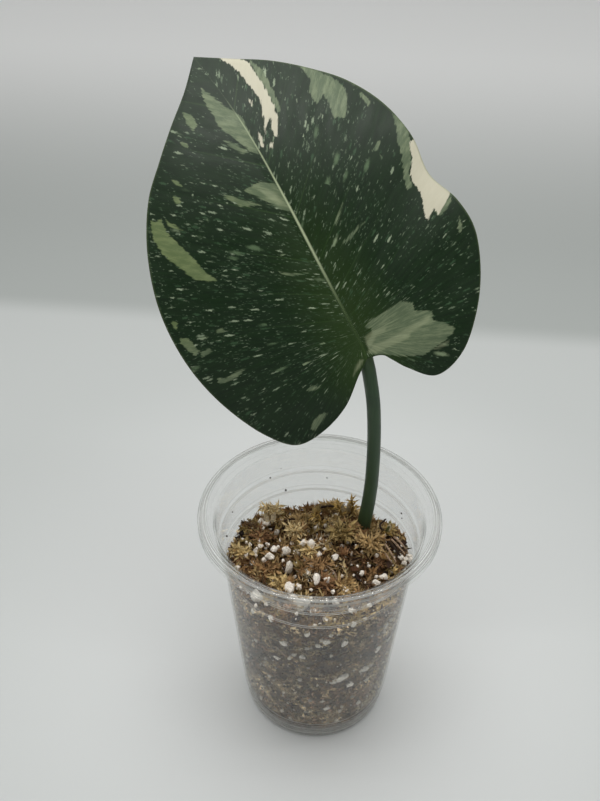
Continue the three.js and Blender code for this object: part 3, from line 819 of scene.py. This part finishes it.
def filleted(profile, radius):
    """Profile with a small round at each corner, and how tightly it bends at each point."""
    corners = np.array(profile, float)
    points, bends = [corners[0]], [0.0]
    for before, corner, after in zip(corners, corners[1:], corners[2:]):
        inward, outward = before - corner, after - corner
        reach = min(radius, 0.45 * np.linalg.norm(inward), 0.45 * np.linalg.norm(outward))
        inward, outward = unit(inward), unit(outward)
        angle = math.pi - math.acos(max(-1, min(1, float(inward @ outward))))
        for share in (0, 0.25, 0.5, 0.75, 1):
            cut = (1 - share) ** 2 * inward + share**2 * outward
            points.append(corner + reach * cut)
            bends.append(min(1, 0.5 * angle / reach) * math.sin(math.pi * share))
    points.append(corners[-1])
    bends.append(0.0)
    return np.array(points), np.array(bends)


def make_cup():
    foot, base, step, shoulder = FOOT_INNER_RADIUS, BASE_RADIUS, STEP_HEIGHT, SHOULDER_HEIGHT
    top, rim = CUP_HEIGHT, RIM_RADIUS
    outer_face = [
        (0.01, FLOOR_HEIGHT), (foot - 1.8, FLOOR_HEIGHT), (foot - 0.7, FLOOR_HEIGHT - 0.9), (foot, 0.3),
        (foot + 0.4, 0), (base - 0.9, 0), (base, 1), (base + 0.15, 2.9), (base + 0.5, 3.2), (base + 0.2, 3.5),
        (base + 0.35, 6.1), (base + 0.7, 6.4), (base + 0.4, 6.7), (base + 0.6, step - 1.6),
        (wall_radius(step), step), (wall_radius(shoulder), shoulder), (rim - 8.5, shoulder + 1.4),
        (rim - 8.1, shoulder + 10), (rim - 7.1, shoulder + 11.4), (rim - 6.1, top - 4.8),
        (rim - 4.4, top - 3.4), (rim - 2.6, top - 1.1), (rim - 1.6, top - 1.1), (rim - 0.8, top - 2),
        (rim - 0.7, top - 4.6),
    ]
    inner_face = [
        (rim, top - 4.6), (rim, top - 1.7), (rim - 1.1, top - 0.3), (rim - 2.1, top), (rim - 3, top),
        (rim - 3.7, top - 0.5), (rim - 5.1, top - 2.4), (rim - 6.8, top - 4), (rim - 7.8, shoulder + 12),
        (rim - 8.8, shoulder + 10.6), (rim - 9.2, shoulder + 2),
        (wall_radius(shoulder) - WALL, shoulder + 0.2), (wall_radius(step) - WALL, step + 0.6),
        (base, step - 1.1), (base - WALL, 1.3), (base - 1.2, WALL), (foot + 0.6, WALL),
        (foot - 0.1, FLOOR_HEIGHT - 0.6), (foot - 1.5, FLOOR_HEIGHT + WALL), (0.01, FLOOR_HEIGHT + WALL),
    ]
    profile, bends = filleted(outer_face + inner_face, radius=0.5)
    turns = 2 * math.pi * np.arange(CUP_SIDES) / CUP_SIDES
    points = [around_axis(radius, turn, height) for radius, height in profile for turn in turns]
    faces = ring_faces(len(profile), CUP_SIDES)
    attributes = {"bend": np.stack([np.repeat(bends, CUP_SIDES)] * 3, -1)}
    make_piece("clear_cup", points, faces, plastic_material(), "cup", attributes)


def bell(x, y, place, spread):
    """1 at a place and less and less round it."""
    return np.exp(-((x - place[0]) ** 2 + (y - place[1]) ** 2) / (2 * spread**2))


def mix_height(x, y):
    """Height of the mix's surface."""
    mound = MOUND_HEIGHT * bell(x, y, MOUND_PLACE, MOUND_SPREAD)
    far_dip = FAR_DIP_DEPTH * smoothstep(y, FAR_DIP_FROM, FAR_DIP_TO)
    stalk_dip = STALK_DIP_DEPTH * bell(x, y, STALK_DIP_PLACE, STALK_DIP_SPREAD)
    broad_lumps = 1.1 * np.sin(0.33 * x + 0.9) * np.cos(0.29 * y)
    small_lumps = 0.8 * np.sin(0.61 * x - 0.5 * y) + 0.5 * np.cos(0.83 * y + 0.4 * x)
    return MIX_LEVEL + mound - far_dip - stalk_dip + broad_lumps + small_lumps


def over_mix(place):
    """How far a place lies over the mix's surface."""
    return place[2] - mix_height(place[0], place[1])


def keep_inside(point, clearance=0.8):
    """The point, drawn in where it would pass the cup's wall."""
    x, y, z = point
    share = min(1, (inner_radius(z) - clearance) / max(math.hypot(x, y), 1e-6))
    return np.array([x * share, y * share, z])


def on_surface(x, y, rise, clearance=0.8):
    """Place inside the cup, at a height over the mix's surface."""
    return keep_inside((x, y, mix_height(x, y) + rise), clearance)


def on_mix(column, row, rise=0.8):
    """Place that a pixel of the photograph shows, at a height over the mix's surface."""
    ray = photo_ray(column, row)
    height = 85.0
    for _ in range(12):
        point = CAMERA + (height - CAMERA[2]) / ray[2] * ray
        height = 0.5 * height + 0.5 * (mix_height(point[0], point[1]) + rise)
    return point


def on_wall(column, row, far):
    """Place on the inside of the cup's wall that a pixel shows, on the near or the far side."""
    ray = photo_ray(column, row)
    reaches = np.linspace(0.25, 0.75, 1500) if not far else np.linspace(0.75, 0.25, 1500)
    for reach in reaches:
        point = CAMERA + reach * ray
        if 0 < point[2] < CUP_HEIGHT and math.hypot(point[0], point[1]) < inner_radius(point[2]):
            break
    return point


def make_core():
    """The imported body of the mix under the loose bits, pressed close to the wall."""
    sides = 200
    brim = inner_radius(SHOULDER_HEIGHT) - 0.7
    floor = FLOOR_HEIGHT + WALL + 0.3
    turns = 2 * math.pi * np.arange(sides) / sides
    underside = [
        (0.01, floor), (FOOT_INNER_RADIUS - 1.3, floor), (FOOT_INNER_RADIUS + 0.4, 7.3),
        (FOOT_INNER_RADIUS + 0.9, GROOVE_FILL), (BASE_RADIUS - 1.2, GROOVE_FILL),
    ]
    points = [around_axis(radius, turn, height) for radius, height in underside for turn in turns]
    for share in np.linspace(0.03, 1, 64):
        for turn in turns:
            x, y, _ = around_axis(brim, turn, 0)
            height = GROOVE_FILL + share * (mix_height(x, y) - 1.5 - GROOVE_FILL)
            dent = 0.9 + 1.1 * max(0, cloud(around_axis(20, turn, height), 4.5))
            points.append(around_axis(inner_radius(height) - dent, turn, height))
    for share in np.linspace(0.97, 0.01, 52):
        for turn in turns:
            x, y, _ = around_axis(share * brim, turn, 0)
            lumps = 1.5 * cloud((x, y, 3), 5.0, 4)
            points.append((x, y, mix_height(x, y) - 1.0 + lumps))
    faces = ring_faces(len(points) // sides, sides)
    make_piece("packed_mix", points, faces, soil_material(), "substrate")


# From wet and dark to dry and pale
MOSS_TINTS = [
    srgb(112, 90, 66), srgb(148, 112, 78), srgb(168, 134, 92), srgb(170, 148, 98), srgb(188, 160, 112),
    srgb(204, 180, 128), srgb(218, 196, 148), srgb(230, 216, 184),
]
# Bark, twigs and peat
TWIG_TINTS = [srgb(52, 34, 22), srgb(74, 48, 30), srgb(38, 30, 26)]
DARK_TWIG = srgb(46, 32, 24)
PALE_TWIG = srgb(158, 134, 112)
GREEN_TWIG = srgb(92, 92, 48)


def leaflet(heap, foot, direction, face, length, width, colour):
    """Small pointed leaf, folded along its middle and curved up at the tip."""
    side = np.cross(direction, face)
    middle = foot + 0.42 * length * direction
    points = [
        foot - 0.3 * width * side, foot + 0.3 * width * side, middle - 0.5 * width * side,
        middle - 0.16 * width * face, middle + 0.5 * width * side,
        foot + length * direction + 0.22 * length * face,
    ]
    heap.add(points, [(0, 3, 2), (0, 1, 3), (1, 4, 3), (2, 3, 5), (3, 4, 5)], colour)


def varied(rng, colour, spread):
    gain = rng.uniform(1 - spread, 1 + spread)
    return (*(gain * channel for channel in colour[:3]), 1)


def moss_tint(rng, place):
    """A tint that changes in patches over the mix, with some scatter."""
    index = 3.4 + 4.5 * cloud(place, 11.0, 2) + rng.gauss(0, 1.1)
    return MOSS_TINTS[int(min(max(index, 0), len(MOSS_TINTS) - 1))]


def leafy_strand(heap, rng, path, thickness, leaf_length, spacing, colour):
    """Moss strand: a thin stem clothed in pointed leaflets, set round it in a spiral."""
    length = sum(np.linalg.norm(np.subtract(b, a)) for a, b in zip(path, path[1:]))
    steps = max(3, int(length / spacing))
    stem_colour = [0.6 * channel for channel in colour]
    heap.add(*tube(path, [thickness, thickness, 0.4 * thickness], sides=4, steps=steps), stem_colour)
    places = spline(path, np.linspace(0, 1, steps + 1))
    turn = rng.uniform(0, 6)
    for i in range(steps):
        forward = unit(places[i + 1] - places[i])
        across = unit(np.cross(forward, (0.2, 0.1, 1)))
        up = np.cross(across, forward)
        for _ in range(2):
            turn += 2.4
            outward = math.cos(turn) * across + math.sin(turn) * up
            direction = unit(forward * rng.uniform(0.6, 1.1) + outward)
            size = leaf_length * rng.uniform(0.7, 1.2)
            face = unit(np.cross(np.cross(direction, outward), direction))
            foot = places[i] + 0.5 * thickness * outward
            leaflet(heap, foot, direction, face, size, 0.32 * size, varied(rng, colour, 0.18))


def surface_path(rng, x, y, heading, length, rise):
    """Path of a strand that lies on the mix: it rises out of it, bends and goes back down."""
    path = []
    for share, lift in ((-0.5, -1.0), (-0.2, 0.6 * rise), (0.15, rise), (0.5, rng.uniform(-0.6, 1.4))):
        bend = heading + rng.uniform(-0.25, 0.25) + 0.4 * share
        along_x, along_y, _ = around_axis(share * length, bend, 0)
        path.append(on_surface(x + along_x, y + along_y, lift))
    return path


def tuft(heap, rng, centre, lean, count, length, colour):
    """Star of pointed leaves at the head of a strand."""
    lean = unit(np.array(lean, float))
    across = unit(np.cross(lean, (0.3, 0.9, 0.1)))
    other = np.cross(lean, across)
    for i in range(count):
        turn = 2.4 * i + rng.uniform(-0.3, 0.3)
        spread = rng.uniform(0.5, 1.5)
        direction = unit(lean + spread * (math.cos(turn) * across + math.sin(turn) * other))
        size = length * rng.uniform(0.7, 1.15)
        face = unit(np.cross(np.cross(direction, lean), direction))
        leaflet(heap, centre, direction, face, size, 0.3 * size, varied(rng, colour, 0.25))


def scattered(rng, count, reach):
    """Even places over a disc, on a spiral of golden turns with some scatter."""
    for number in range(count):
        radius = reach * math.sqrt((number + 0.5) / count)
        x, y, _ = around_axis(radius, number * GOLDEN_TURN + rng.uniform(-0.2, 0.2), 0)
        yield x + rng.uniform(-1.5, 1.5), y + rng.uniform(-1.5, 1.5)


def clump(heap, rng, centre, spread, rise, length, tint):
    """Strands that arch out of one place to all sides."""
    for number in range(11):
        turn = 2.4 * number + rng.uniform(-0.4, 0.4)
        reach = spread * rng.uniform(0.5, 1.1)
        way = around_axis(1, turn, 0)
        top = centre + 0.35 * reach * way + np.array([0, 0, rise * rng.uniform(0.6, 1.1)])
        end = centre + reach * way + np.array([0, 0, rise * rng.uniform(0.1, 0.7)])
        path = [centre + np.array([0, 0, -2]), top, end]
        leafy_strand(heap, rng, path, 0.35, length * rng.uniform(0.75, 1.1), 0.95, varied(rng, tint, 0.15))


def standing_leaf(heap, rng, foot_pixel, tip_pixel, rise, width):
    """Broad pale leaf that faces the camera, upright over a place on the mix."""
    foot = on_mix(*foot_pixel, rise)
    ray = photo_ray(*tip_pixel)
    tip = CAMERA + (foot[1] - CAMERA[1]) / ray[1] * ray
    length = np.linalg.norm(tip - foot)
    direction = (tip - foot) / length
    face = unit(np.cross(direction, np.cross(unit(CAMERA - foot), direction)))
    leaflet(heap, foot, direction, face, length, width, varied(rng, MOSS_TINTS[7], 0.06))


def make_moss():
    """Loose strands and tufts that cover the mix, with the clumps that the photograph shows."""
    rng = random.Random(11)
    heap = Heap()
    hollows = [(on_mix(*pixel), reach) for pixel, reach in HOLLOWS]

    def is_bare(x, y):
        return any(math.hypot(x - hollow[0], y - hollow[1]) < reach for hollow, reach in hollows)

    for x, y in scattered(rng, STRANDS, SCATTER_REACH):
        if not is_bare(x, y):
            heading, length = rng.uniform(0, 2 * math.pi), rng.uniform(7, 15)
            path = surface_path(rng, x, y, heading, length, rng.uniform(0.2, 3.4))
            leafy_strand(heap, rng, path, 0.3, rng.uniform(2, 3.6), 0.85, moss_tint(rng, (x, y, 0)))
    for pixel, spread, rise, length, tint in CLUMPS:
        clump(heap, rng, on_mix(*pixel), spread, rise, length, MOSS_TINTS[tint])
    for x, y in scattered(rng, TUFTS, SCATTER_REACH - 1):
        if not is_bare(x, y):
            centre = on_surface(x, y, rng.uniform(0.6, 2.6), 2.5)
            lean = (rng.uniform(-0.8, 0.8), rng.uniform(-0.8, 0.8), 1)
            tuft(heap, rng, centre, lean, 12, rng.uniform(2.6, 4.6), moss_tint(rng, (x, y, 0)))
    for (x, y), tip in STANDING_SPRIGS:
        foot, tip = on_surface(x, y, -2), np.array(tip, float)
        middle = 0.45 * foot + 0.55 * tip + np.array([1.2, 0.8, 0.6])
        leafy_strand(heap, rng, [foot, middle, tip], 0.55, 3.4, 0.9, srgb(164, 134, 72))
    for standing in BROAD_LEAVES:
        standing_leaf(heap, rng, *standing)
    heap.press_inside(clearance=0.3)
    heap.make("moss", tinted_material("moss", roughness=0.8, grain_scale=700))


def wall_shade(point, zones):
    """How light the mix looks at a place on the wall: pale where moss lies, dark where peat does."""
    shade = 0.84 + 0.9 * cloud(point, 7.0, 2)
    for centre, spread, gain in zones:
        shade += gain * math.exp(-float(np.sum((point - centre) ** 2)) / (2 * spread**2))
    return max(0.12, shade)


def dulled(colour, gain):
    """A moss tint as it looks when damp and pressed to the wall: greyer, and scaled by a gain."""
    grey = sum(colour[:3]) / 3
    damp = [gain * (0.72 * channel + 0.28 * grey * bias) for channel, bias in zip(colour, (1.06, 0.98, 1))]
    return (*damp, 1)


def wall_strand(heap, rng, path, colour):
    """Strand with its leaflets spread flat to both sides, along the wall."""
    places = spline(path, np.linspace(0, 1, 11))
    heap.add(*tube(path, [0.16, 0.2, 0.1], sides=4, steps=6), varied(rng, colour, 0.1))
    for i in range(10):
        outward = unit(np.array([places[i][0], places[i][1], 0]))
        forward = unit(places[i + 1] - places[i])
        side = np.cross(outward, forward)
        for sign in (-1, 1):
            direction = unit(forward * rng.uniform(0.5, 1.2) + sign * side)
            size = rng.uniform(1, 2.6)
            leaflet(heap, places[i], direction, 0.3 * outward, size, 0.36 * size, varied(rng, colour, 0.45))


def ball(detail):
    """Round mesh to knead grains from, made once for each level of detail."""
    name = f"ball_{detail}"
    if name not in bpy.data.meshes:
        build = bmesh.new()
        bmesh.ops.create_icosphere(build, subdivisions=detail, radius=1)
        build.to_mesh(bpy.data.meshes.new(name))
        build.free()
    return bpy.data.meshes[name]


def lumpy_grain(heap, rng, centre, size, colour, detail=2, stretch=None):
    """Perlite grain: a pebble of puffed glass with rounded knobs and pits."""
    shape = ball(detail)
    shift = rng.uniform(0, 100)
    stretch = np.array(stretch or [rng.uniform(0.7, 1.2) for _ in range(3)])
    cuts = [(unit(np.array([rng.gauss(0, 1) for _ in range(3)])), rng.uniform(0.6, 0.95)) for _ in range(7)]
    points = []
    for vertex in shape.vertices:
        direction = vertex.co.normalized()
        swell = 1 + 0.55 * noise.noise(direction * 1.1 + Vector((shift, 0, 0)))
        swell += 0.3 * noise.noise(direction * 2.6 + Vector((0, shift, 0)))
        swell += 0.12 * noise.noise(direction * 6 + Vector((0, 0, shift)))
        place = swell * np.array(direction)
        for face, depth in cuts:
            place = place - max(0, place @ face - depth) * face
        points.append(np.array(centre) + 0.56 * size * stretch * place)
    heap.add(points, [tuple(face.vertices) for face in shape.polygons], colour)


def chip(heap, rng, centre, size, colour=None):
    """Angular flake: a rough box of eight pulled corners, dark unless it has a colour."""
    spin = Matrix.Rotation(rng.uniform(0, 6.28), 3, "Z") @ Matrix.Rotation(rng.uniform(-0.7, 0.7), 3, "X")
    half = (0.5 * size, 0.3 * size, 0.14 * size)
    points = []
    for up in (-1, 1):
        for right, back in ((-1, -1), (1, -1), (1, 1), (-1, 1)):
            corner = Vector((right * half[0], back * half[1], up * half[2])) * rng.uniform(0.7, 1.25)
            points.append(np.array(centre) + np.array(spin @ corner))
    faces = [(3, 2, 1, 0), (4, 5, 6, 7), (0, 1, 5, 4), (1, 2, 6, 5), (2, 3, 7, 6), (3, 0, 4, 7)]
    heap.add(points, faces, colour or varied(rng, rng.choice(TWIG_TINTS), 0.3))


def make_wall_moss():
    """Strands and crumbs flattened against the inside of the wall, as seen through it."""
    rng = random.Random(5)
    heap = Heap()
    zones = [(on_wall(*pixel, far=False), spread, gain) for pixel, spread, gain in WALL_ZONES]
    for number in range(STRANDS_AT_WALL):
        turn = number * GOLDEN_TURN
        height, slope, length = rng.uniform(9, WALL_MOSS_HIGH), rng.uniform(-1.6, 1.6), rng.uniform(2.5, 6)
        path = []
        for share in (-0.5, -0.15, 0.2, 0.5):
            z = min(max(height + share * length * slope, WALL_MOSS_LOW), WALL_MOSS_HIGH)
            radius = inner_radius(z) - rng.uniform(0.5, 1.1)
            path.append(around_axis(radius, turn + share * length / radius, z))
        if over_mix(path[1]) < 0:
            shade = wall_shade(path[1], zones)
            wall_strand(heap, rng, path, dulled(moss_tint(rng, path[1]), shade))
    for number in range(CRUMBS_AT_WALL):
        height = rng.uniform(WALL_MOSS_LOW, WALL_MOSS_HIGH + 2)
        radius = inner_radius(height) - rng.uniform(0.4, 0.9)
        place = around_axis(radius, number * GOLDEN_TURN + 0.2, height)
        if over_mix(place) < 1:
            shade = wall_shade(place, zones) * rng.uniform(0.5, 1.5)
            size = rng.uniform(0.7, 2)
            chip(heap, rng, place, size, dulled(moss_tint(rng, place), shade))
    for number in range(CHIPS_AT_FOOT):
        place = around_axis(BASE_RADIUS - 1.6, 2.4 * number, rng.uniform(5, 8.4))
        chip(heap, rng, place, rng.uniform(1, 3))
    heap.press_inside(clearance=0.15)
    heap.make("moss_at_wall", tinted_material("moss_at_wall", 0.8, 1100, 0.0005, contrast=0.7))


def make_perlite():
    """White grains: those that the photograph shows, and small ones between them."""
    rng = random.Random(3)
    heap = Heap()
    white = srgb(242, 234, 222)
    for column, row, size in GRAINS_ON_TOP:
        place = keep_inside(on_mix(column, row, 0.3 * size + 2), 0.5 * size + 0.3)
        lumpy_grain(heap, rng, place, size, varied(rng, white, 0.06), 3)
    column, row, size = UPRIGHT_GRAIN
    lumpy_grain(heap, rng, on_mix(column, row, 4), size, varied(rng, white, 0.06), 3, (0.68, 0.68, 1.45))
    for x, y in scattered(rng, SMALL_GRAINS, SCATTER_REACH):
        size = rng.uniform(0.6, 1.9)
        place = on_surface(x, y, rng.uniform(-0.2, 1.6), 1.4)
        lumpy_grain(heap, rng, place, size, varied(rng, white, 0.12))
    for column, row, size in GRAINS_AT_WALL:
        place = keep_inside(on_wall(column, row, far=False), 0.25 * size)
        if over_mix(place) > 0.5 * size:
            place = keep_inside(on_mix(column, row) + np.array([0, 0, 0.3 * size]), 0.6 * size)
        lumpy_grain(heap, rng, place, size, varied(rng, srgb(240, 234, 224), 0.1), 3)
    for number in range(SMALL_GRAINS_AT_WALL):
        height = rng.uniform(9.5, 80)
        size = rng.choice((0.6, 0.7, 0.8, 1, 1.3, 2))
        place = around_axis(inner_radius(height) - 0.3 * size, number * GOLDEN_TURN, height)
        if over_mix(place) < -1:
            lumpy_grain(heap, rng, place, size, varied(rng, srgb(206, 198, 186), 0.35))
    heap.press_inside(clearance=0.12)
    heap.make("perlite", tinted_material("perlite", 0.85, 1100, contrast=0.28, bump=0.8))


# Twigs that stand out: three pixels each, their rise over the mix in millimetres and their radius
TWIGS = [
    ([(316, 509), (330, 506), (346, 509)], (5, 6.5, 6), 0.45, DARK_TWIG),
    ([(383, 531), (380, 525), (386, 519)], (3, 5, 7), 0.5, DARK_TWIG),
    ([(387, 531), (389, 526), (390, 522)], (4, 6, 7), 0.6, GREEN_TWIG),
    ([(401, 552), (408, 549), (416, 548)], (3, 4, 4), 0.22, DARK_TWIG),
    ([(385, 544), (391, 553), (396, 562)], (3.6, 4.2, 3), 0.45, PALE_TWIG),
    ([(388, 541), (395, 549), (402, 558)], (3.6, 4.2, 3), 0.4, DARK_TWIG),
    ([(391, 539), (398, 546), (405, 554)], (3.6, 4.2, 3), 0.45, PALE_TWIG),
    ([(382, 549), (387, 556), (392, 563)], (3.6, 4.2, 3), 0.4, PALE_TWIG),
    ([(394, 537), (401, 543), (407, 551)], (3.6, 4.2, 3), 0.45, PALE_TWIG),
    ([(284, 521), (292, 519), (302, 520)], (4, 5, 3), 0.3, DARK_TWIG),
    ([(300, 521), (304, 516), (306, 510)], (3, 4.5, 6), 0.35, GREEN_TWIG),
    ([(337, 580), (334, 572), (327, 566)], (3, 4, 3), 0.3, PALE_TWIG),
    ([(315, 590), (325, 588), (334, 590)], (3, 3.5, 3), 0.3, DARK_TWIG),
    ([(320, 558), (318, 572), (321, 588)], (3, 3.5, 3), 0.28, DARK_TWIG),
]


def make_bark():
    """Dark chips of bark, thin twigs between the moss and specks on the far wall."""
    rng = random.Random(29)
    heap = Heap()
    for x, y in scattered(rng, CHIPS, SCATTER_REACH):
        size = rng.uniform(1.6, 4.5)
        chip(heap, rng, on_surface(x, y, rng.uniform(-0.4, 1.2), 2.2), size)
    for x, y in scattered(rng, THIN_TWIGS, SCATTER_REACH - 3):
        heading, length = rng.uniform(0, 2 * math.pi), rng.uniform(6, 13)
        path = surface_path(rng, x, y, heading, length, rng.uniform(1.5, 3.8))
        heap.add(*tube(path, [0.22, 0.28, 0.12], sides=5, steps=14), varied(rng, rng.choice(TWIG_TINTS), 0.2))
    for pixels, rises, radius, tint in TWIGS:
        path = [keep_inside(on_mix(*pixel, rise)) for pixel, rise in zip(pixels, rises)]
        heap.add(*tube(path, [radius, radius, 0.6 * radius], sides=6, steps=14), varied(rng, tint, 0.15))
    for number in range(CHIPS_AT_WALL):
        height = rng.uniform(5.5, 78)
        place = around_axis(inner_radius(height) - 1.0, number * GOLDEN_TURN + 0.4, height)
        chip(heap, rng, place, rng.uniform(1.5, 4))
    for column, row, size in SPECKS_ON_FAR_WALL:
        place = keep_inside(on_wall(column, row, far=True), 0.3 * size)
        lumpy_grain(heap, rng, place, size, TWIG_TINTS[0], 1)
    heap.press_inside(clearance=0.15)
    heap.make("bark", tinted_material("bark", 0.85, 900), smooth=False)


def make_stage():
    """Wide pale floor. Its far part stands for the back of the light tent, with a darker band of painted
    shade and painted light further back, as if lit from above. Round the cup it is paler, painted light that
    lightens the cup's shadow.
    """
    stage = Shader("floor")
    place = stage.position()
    sideways, back, _ = stage.parts(place)
    far = stage.math("MULTIPLY_ADD", sideways, 0.1, back)
    speckle = stage.noise(place, 900, 3)
    from_cup = stage.vectors("DISTANCE", place, AXIS + Vector((0, 0.04, 0)))["Value"]
    near = stage.mix(speckle, srgb(201, 205, 204), srgb(205, 209, 208))
    # Painted light: paler round the cup, which lightens the cup's shadow
    colour = stage.mix(stage.step(from_cup, 0.24, 0.05), near, srgb(224, 227, 227))
    # Painted shade: a darker band across the back of the light tent
    colour = stage.mix(stage.step(far, 0.28, 0.312), colour, srgb(178, 183, 181))
    # Painted light: paler still further back, where the tent is lit from above
    colour = stage.mix(stage.step(far, 0.42, 1.02), colour, srgb(244, 246, 246))
    rough = stage.step(speckle, 0.3, 0.7, 0.5, 0.6)
    mesh = bpy.data.meshes.new("floor")
    corners = [(-2.2, -2.2, 0), (2.2, -2.2, 0), (2.2, 2.2, 0), (-2.2, 2.2, 0)]
    mesh.from_pydata([tuple(Vector(corner) + AXIS) for corner in corners], [], [(0, 1, 2, 3)])
    surface = stage.surface(Base_Color=colour, Roughness=rough, Specular_IOR_Level=0.2)
    mesh.materials.append(stage.finish(surface))
    floor = bpy.data.objects.new("floor", mesh)
    bpy.context.scene.collection.objects.link(floor)


def add_light(name, place, target, size, power, colour=(1, 0.995, 0.98)):
    """Lamp of a size in millimetres that shines from a place to a target."""
    light = bpy.data.lights.new(name, "AREA")
    light.shape = "RECTANGLE"
    light.size, light.size_y = size[0] * MM, size[1] * MM
    light.energy = power
    light.color = colour
    lamp = bpy.data.objects.new(name, light)
    lamp.location = Vector(place) * MM + AXIS
    aim = Vector(target) - Vector(place)
    lamp.rotation_euler = aim.to_track_quat("-Z", "Y").to_euler()
    bpy.context.scene.collection.objects.link(lamp)


def make_light():
    """Lit from above and all round, but dim in front above the horizon, where the leaf mirrors it."""
    world = Shader("soft_room", "worlds")
    _, back, up = world.parts(world.node("TexCoord").outputs["Generated"])
    lift = world.step(up, 0.3, 0.12, 0, 0.9, "LINEAR")
    strength = world.step(world.plus(back, lift), -0.8, -0.1, 0.05, 0.42, "LINEAR")
    background = world.node("Background", {"Color": (1, 0.995, 0.975, 1), "Strength": strength}).outputs[0]
    world.node("OutputWorld", {"Surface": background})
    bpy.context.scene.world = world.owner
    add_light("top", (0, 60, 700), (0, 30, 0), (900, 620), 2.7)
    add_light("back", (0, 1150, 850), (0, 1000, 0), (2400, 1300), 4)
    add_light("front", (0, -1500, 420), (0, 0, 50), (1800, 460), 1.6, (1, 0.99, 0.97))
    add_light("strip", (0, -40, 640), (0, 0, 0), (560, 14), 0.6)
    bpy.context.scene.view_settings.view_transform = "Standard"


def make_camera():
    camera = bpy.data.cameras.new("camera")
    camera.sensor_width = 36
    camera.lens = FOCAL_PIXELS * camera.sensor_width / PICTURE[1]
    camera.clip_start = 0.01
    viewer = bpy.data.objects.new("camera", camera)
    place = Matrix.Translation(Vector(CAMERA) * MM + AXIS)
    turn = Matrix.Rotation(math.pi / 2 - PITCH, 4, "X") @ Matrix.Rotation(CAMERA_ROLL, 4, "Z")
    viewer.matrix_world = place @ turn
    bpy.context.scene.collection.objects.link(viewer)
    bpy.context.scene.camera = viewer


make_camera()
make_light()
make_stage()
make_leaf()
make_stalk()
make_roots()
make_cup()
make_core()
make_moss()
make_wall_moss()
make_perlite()
make_bark()
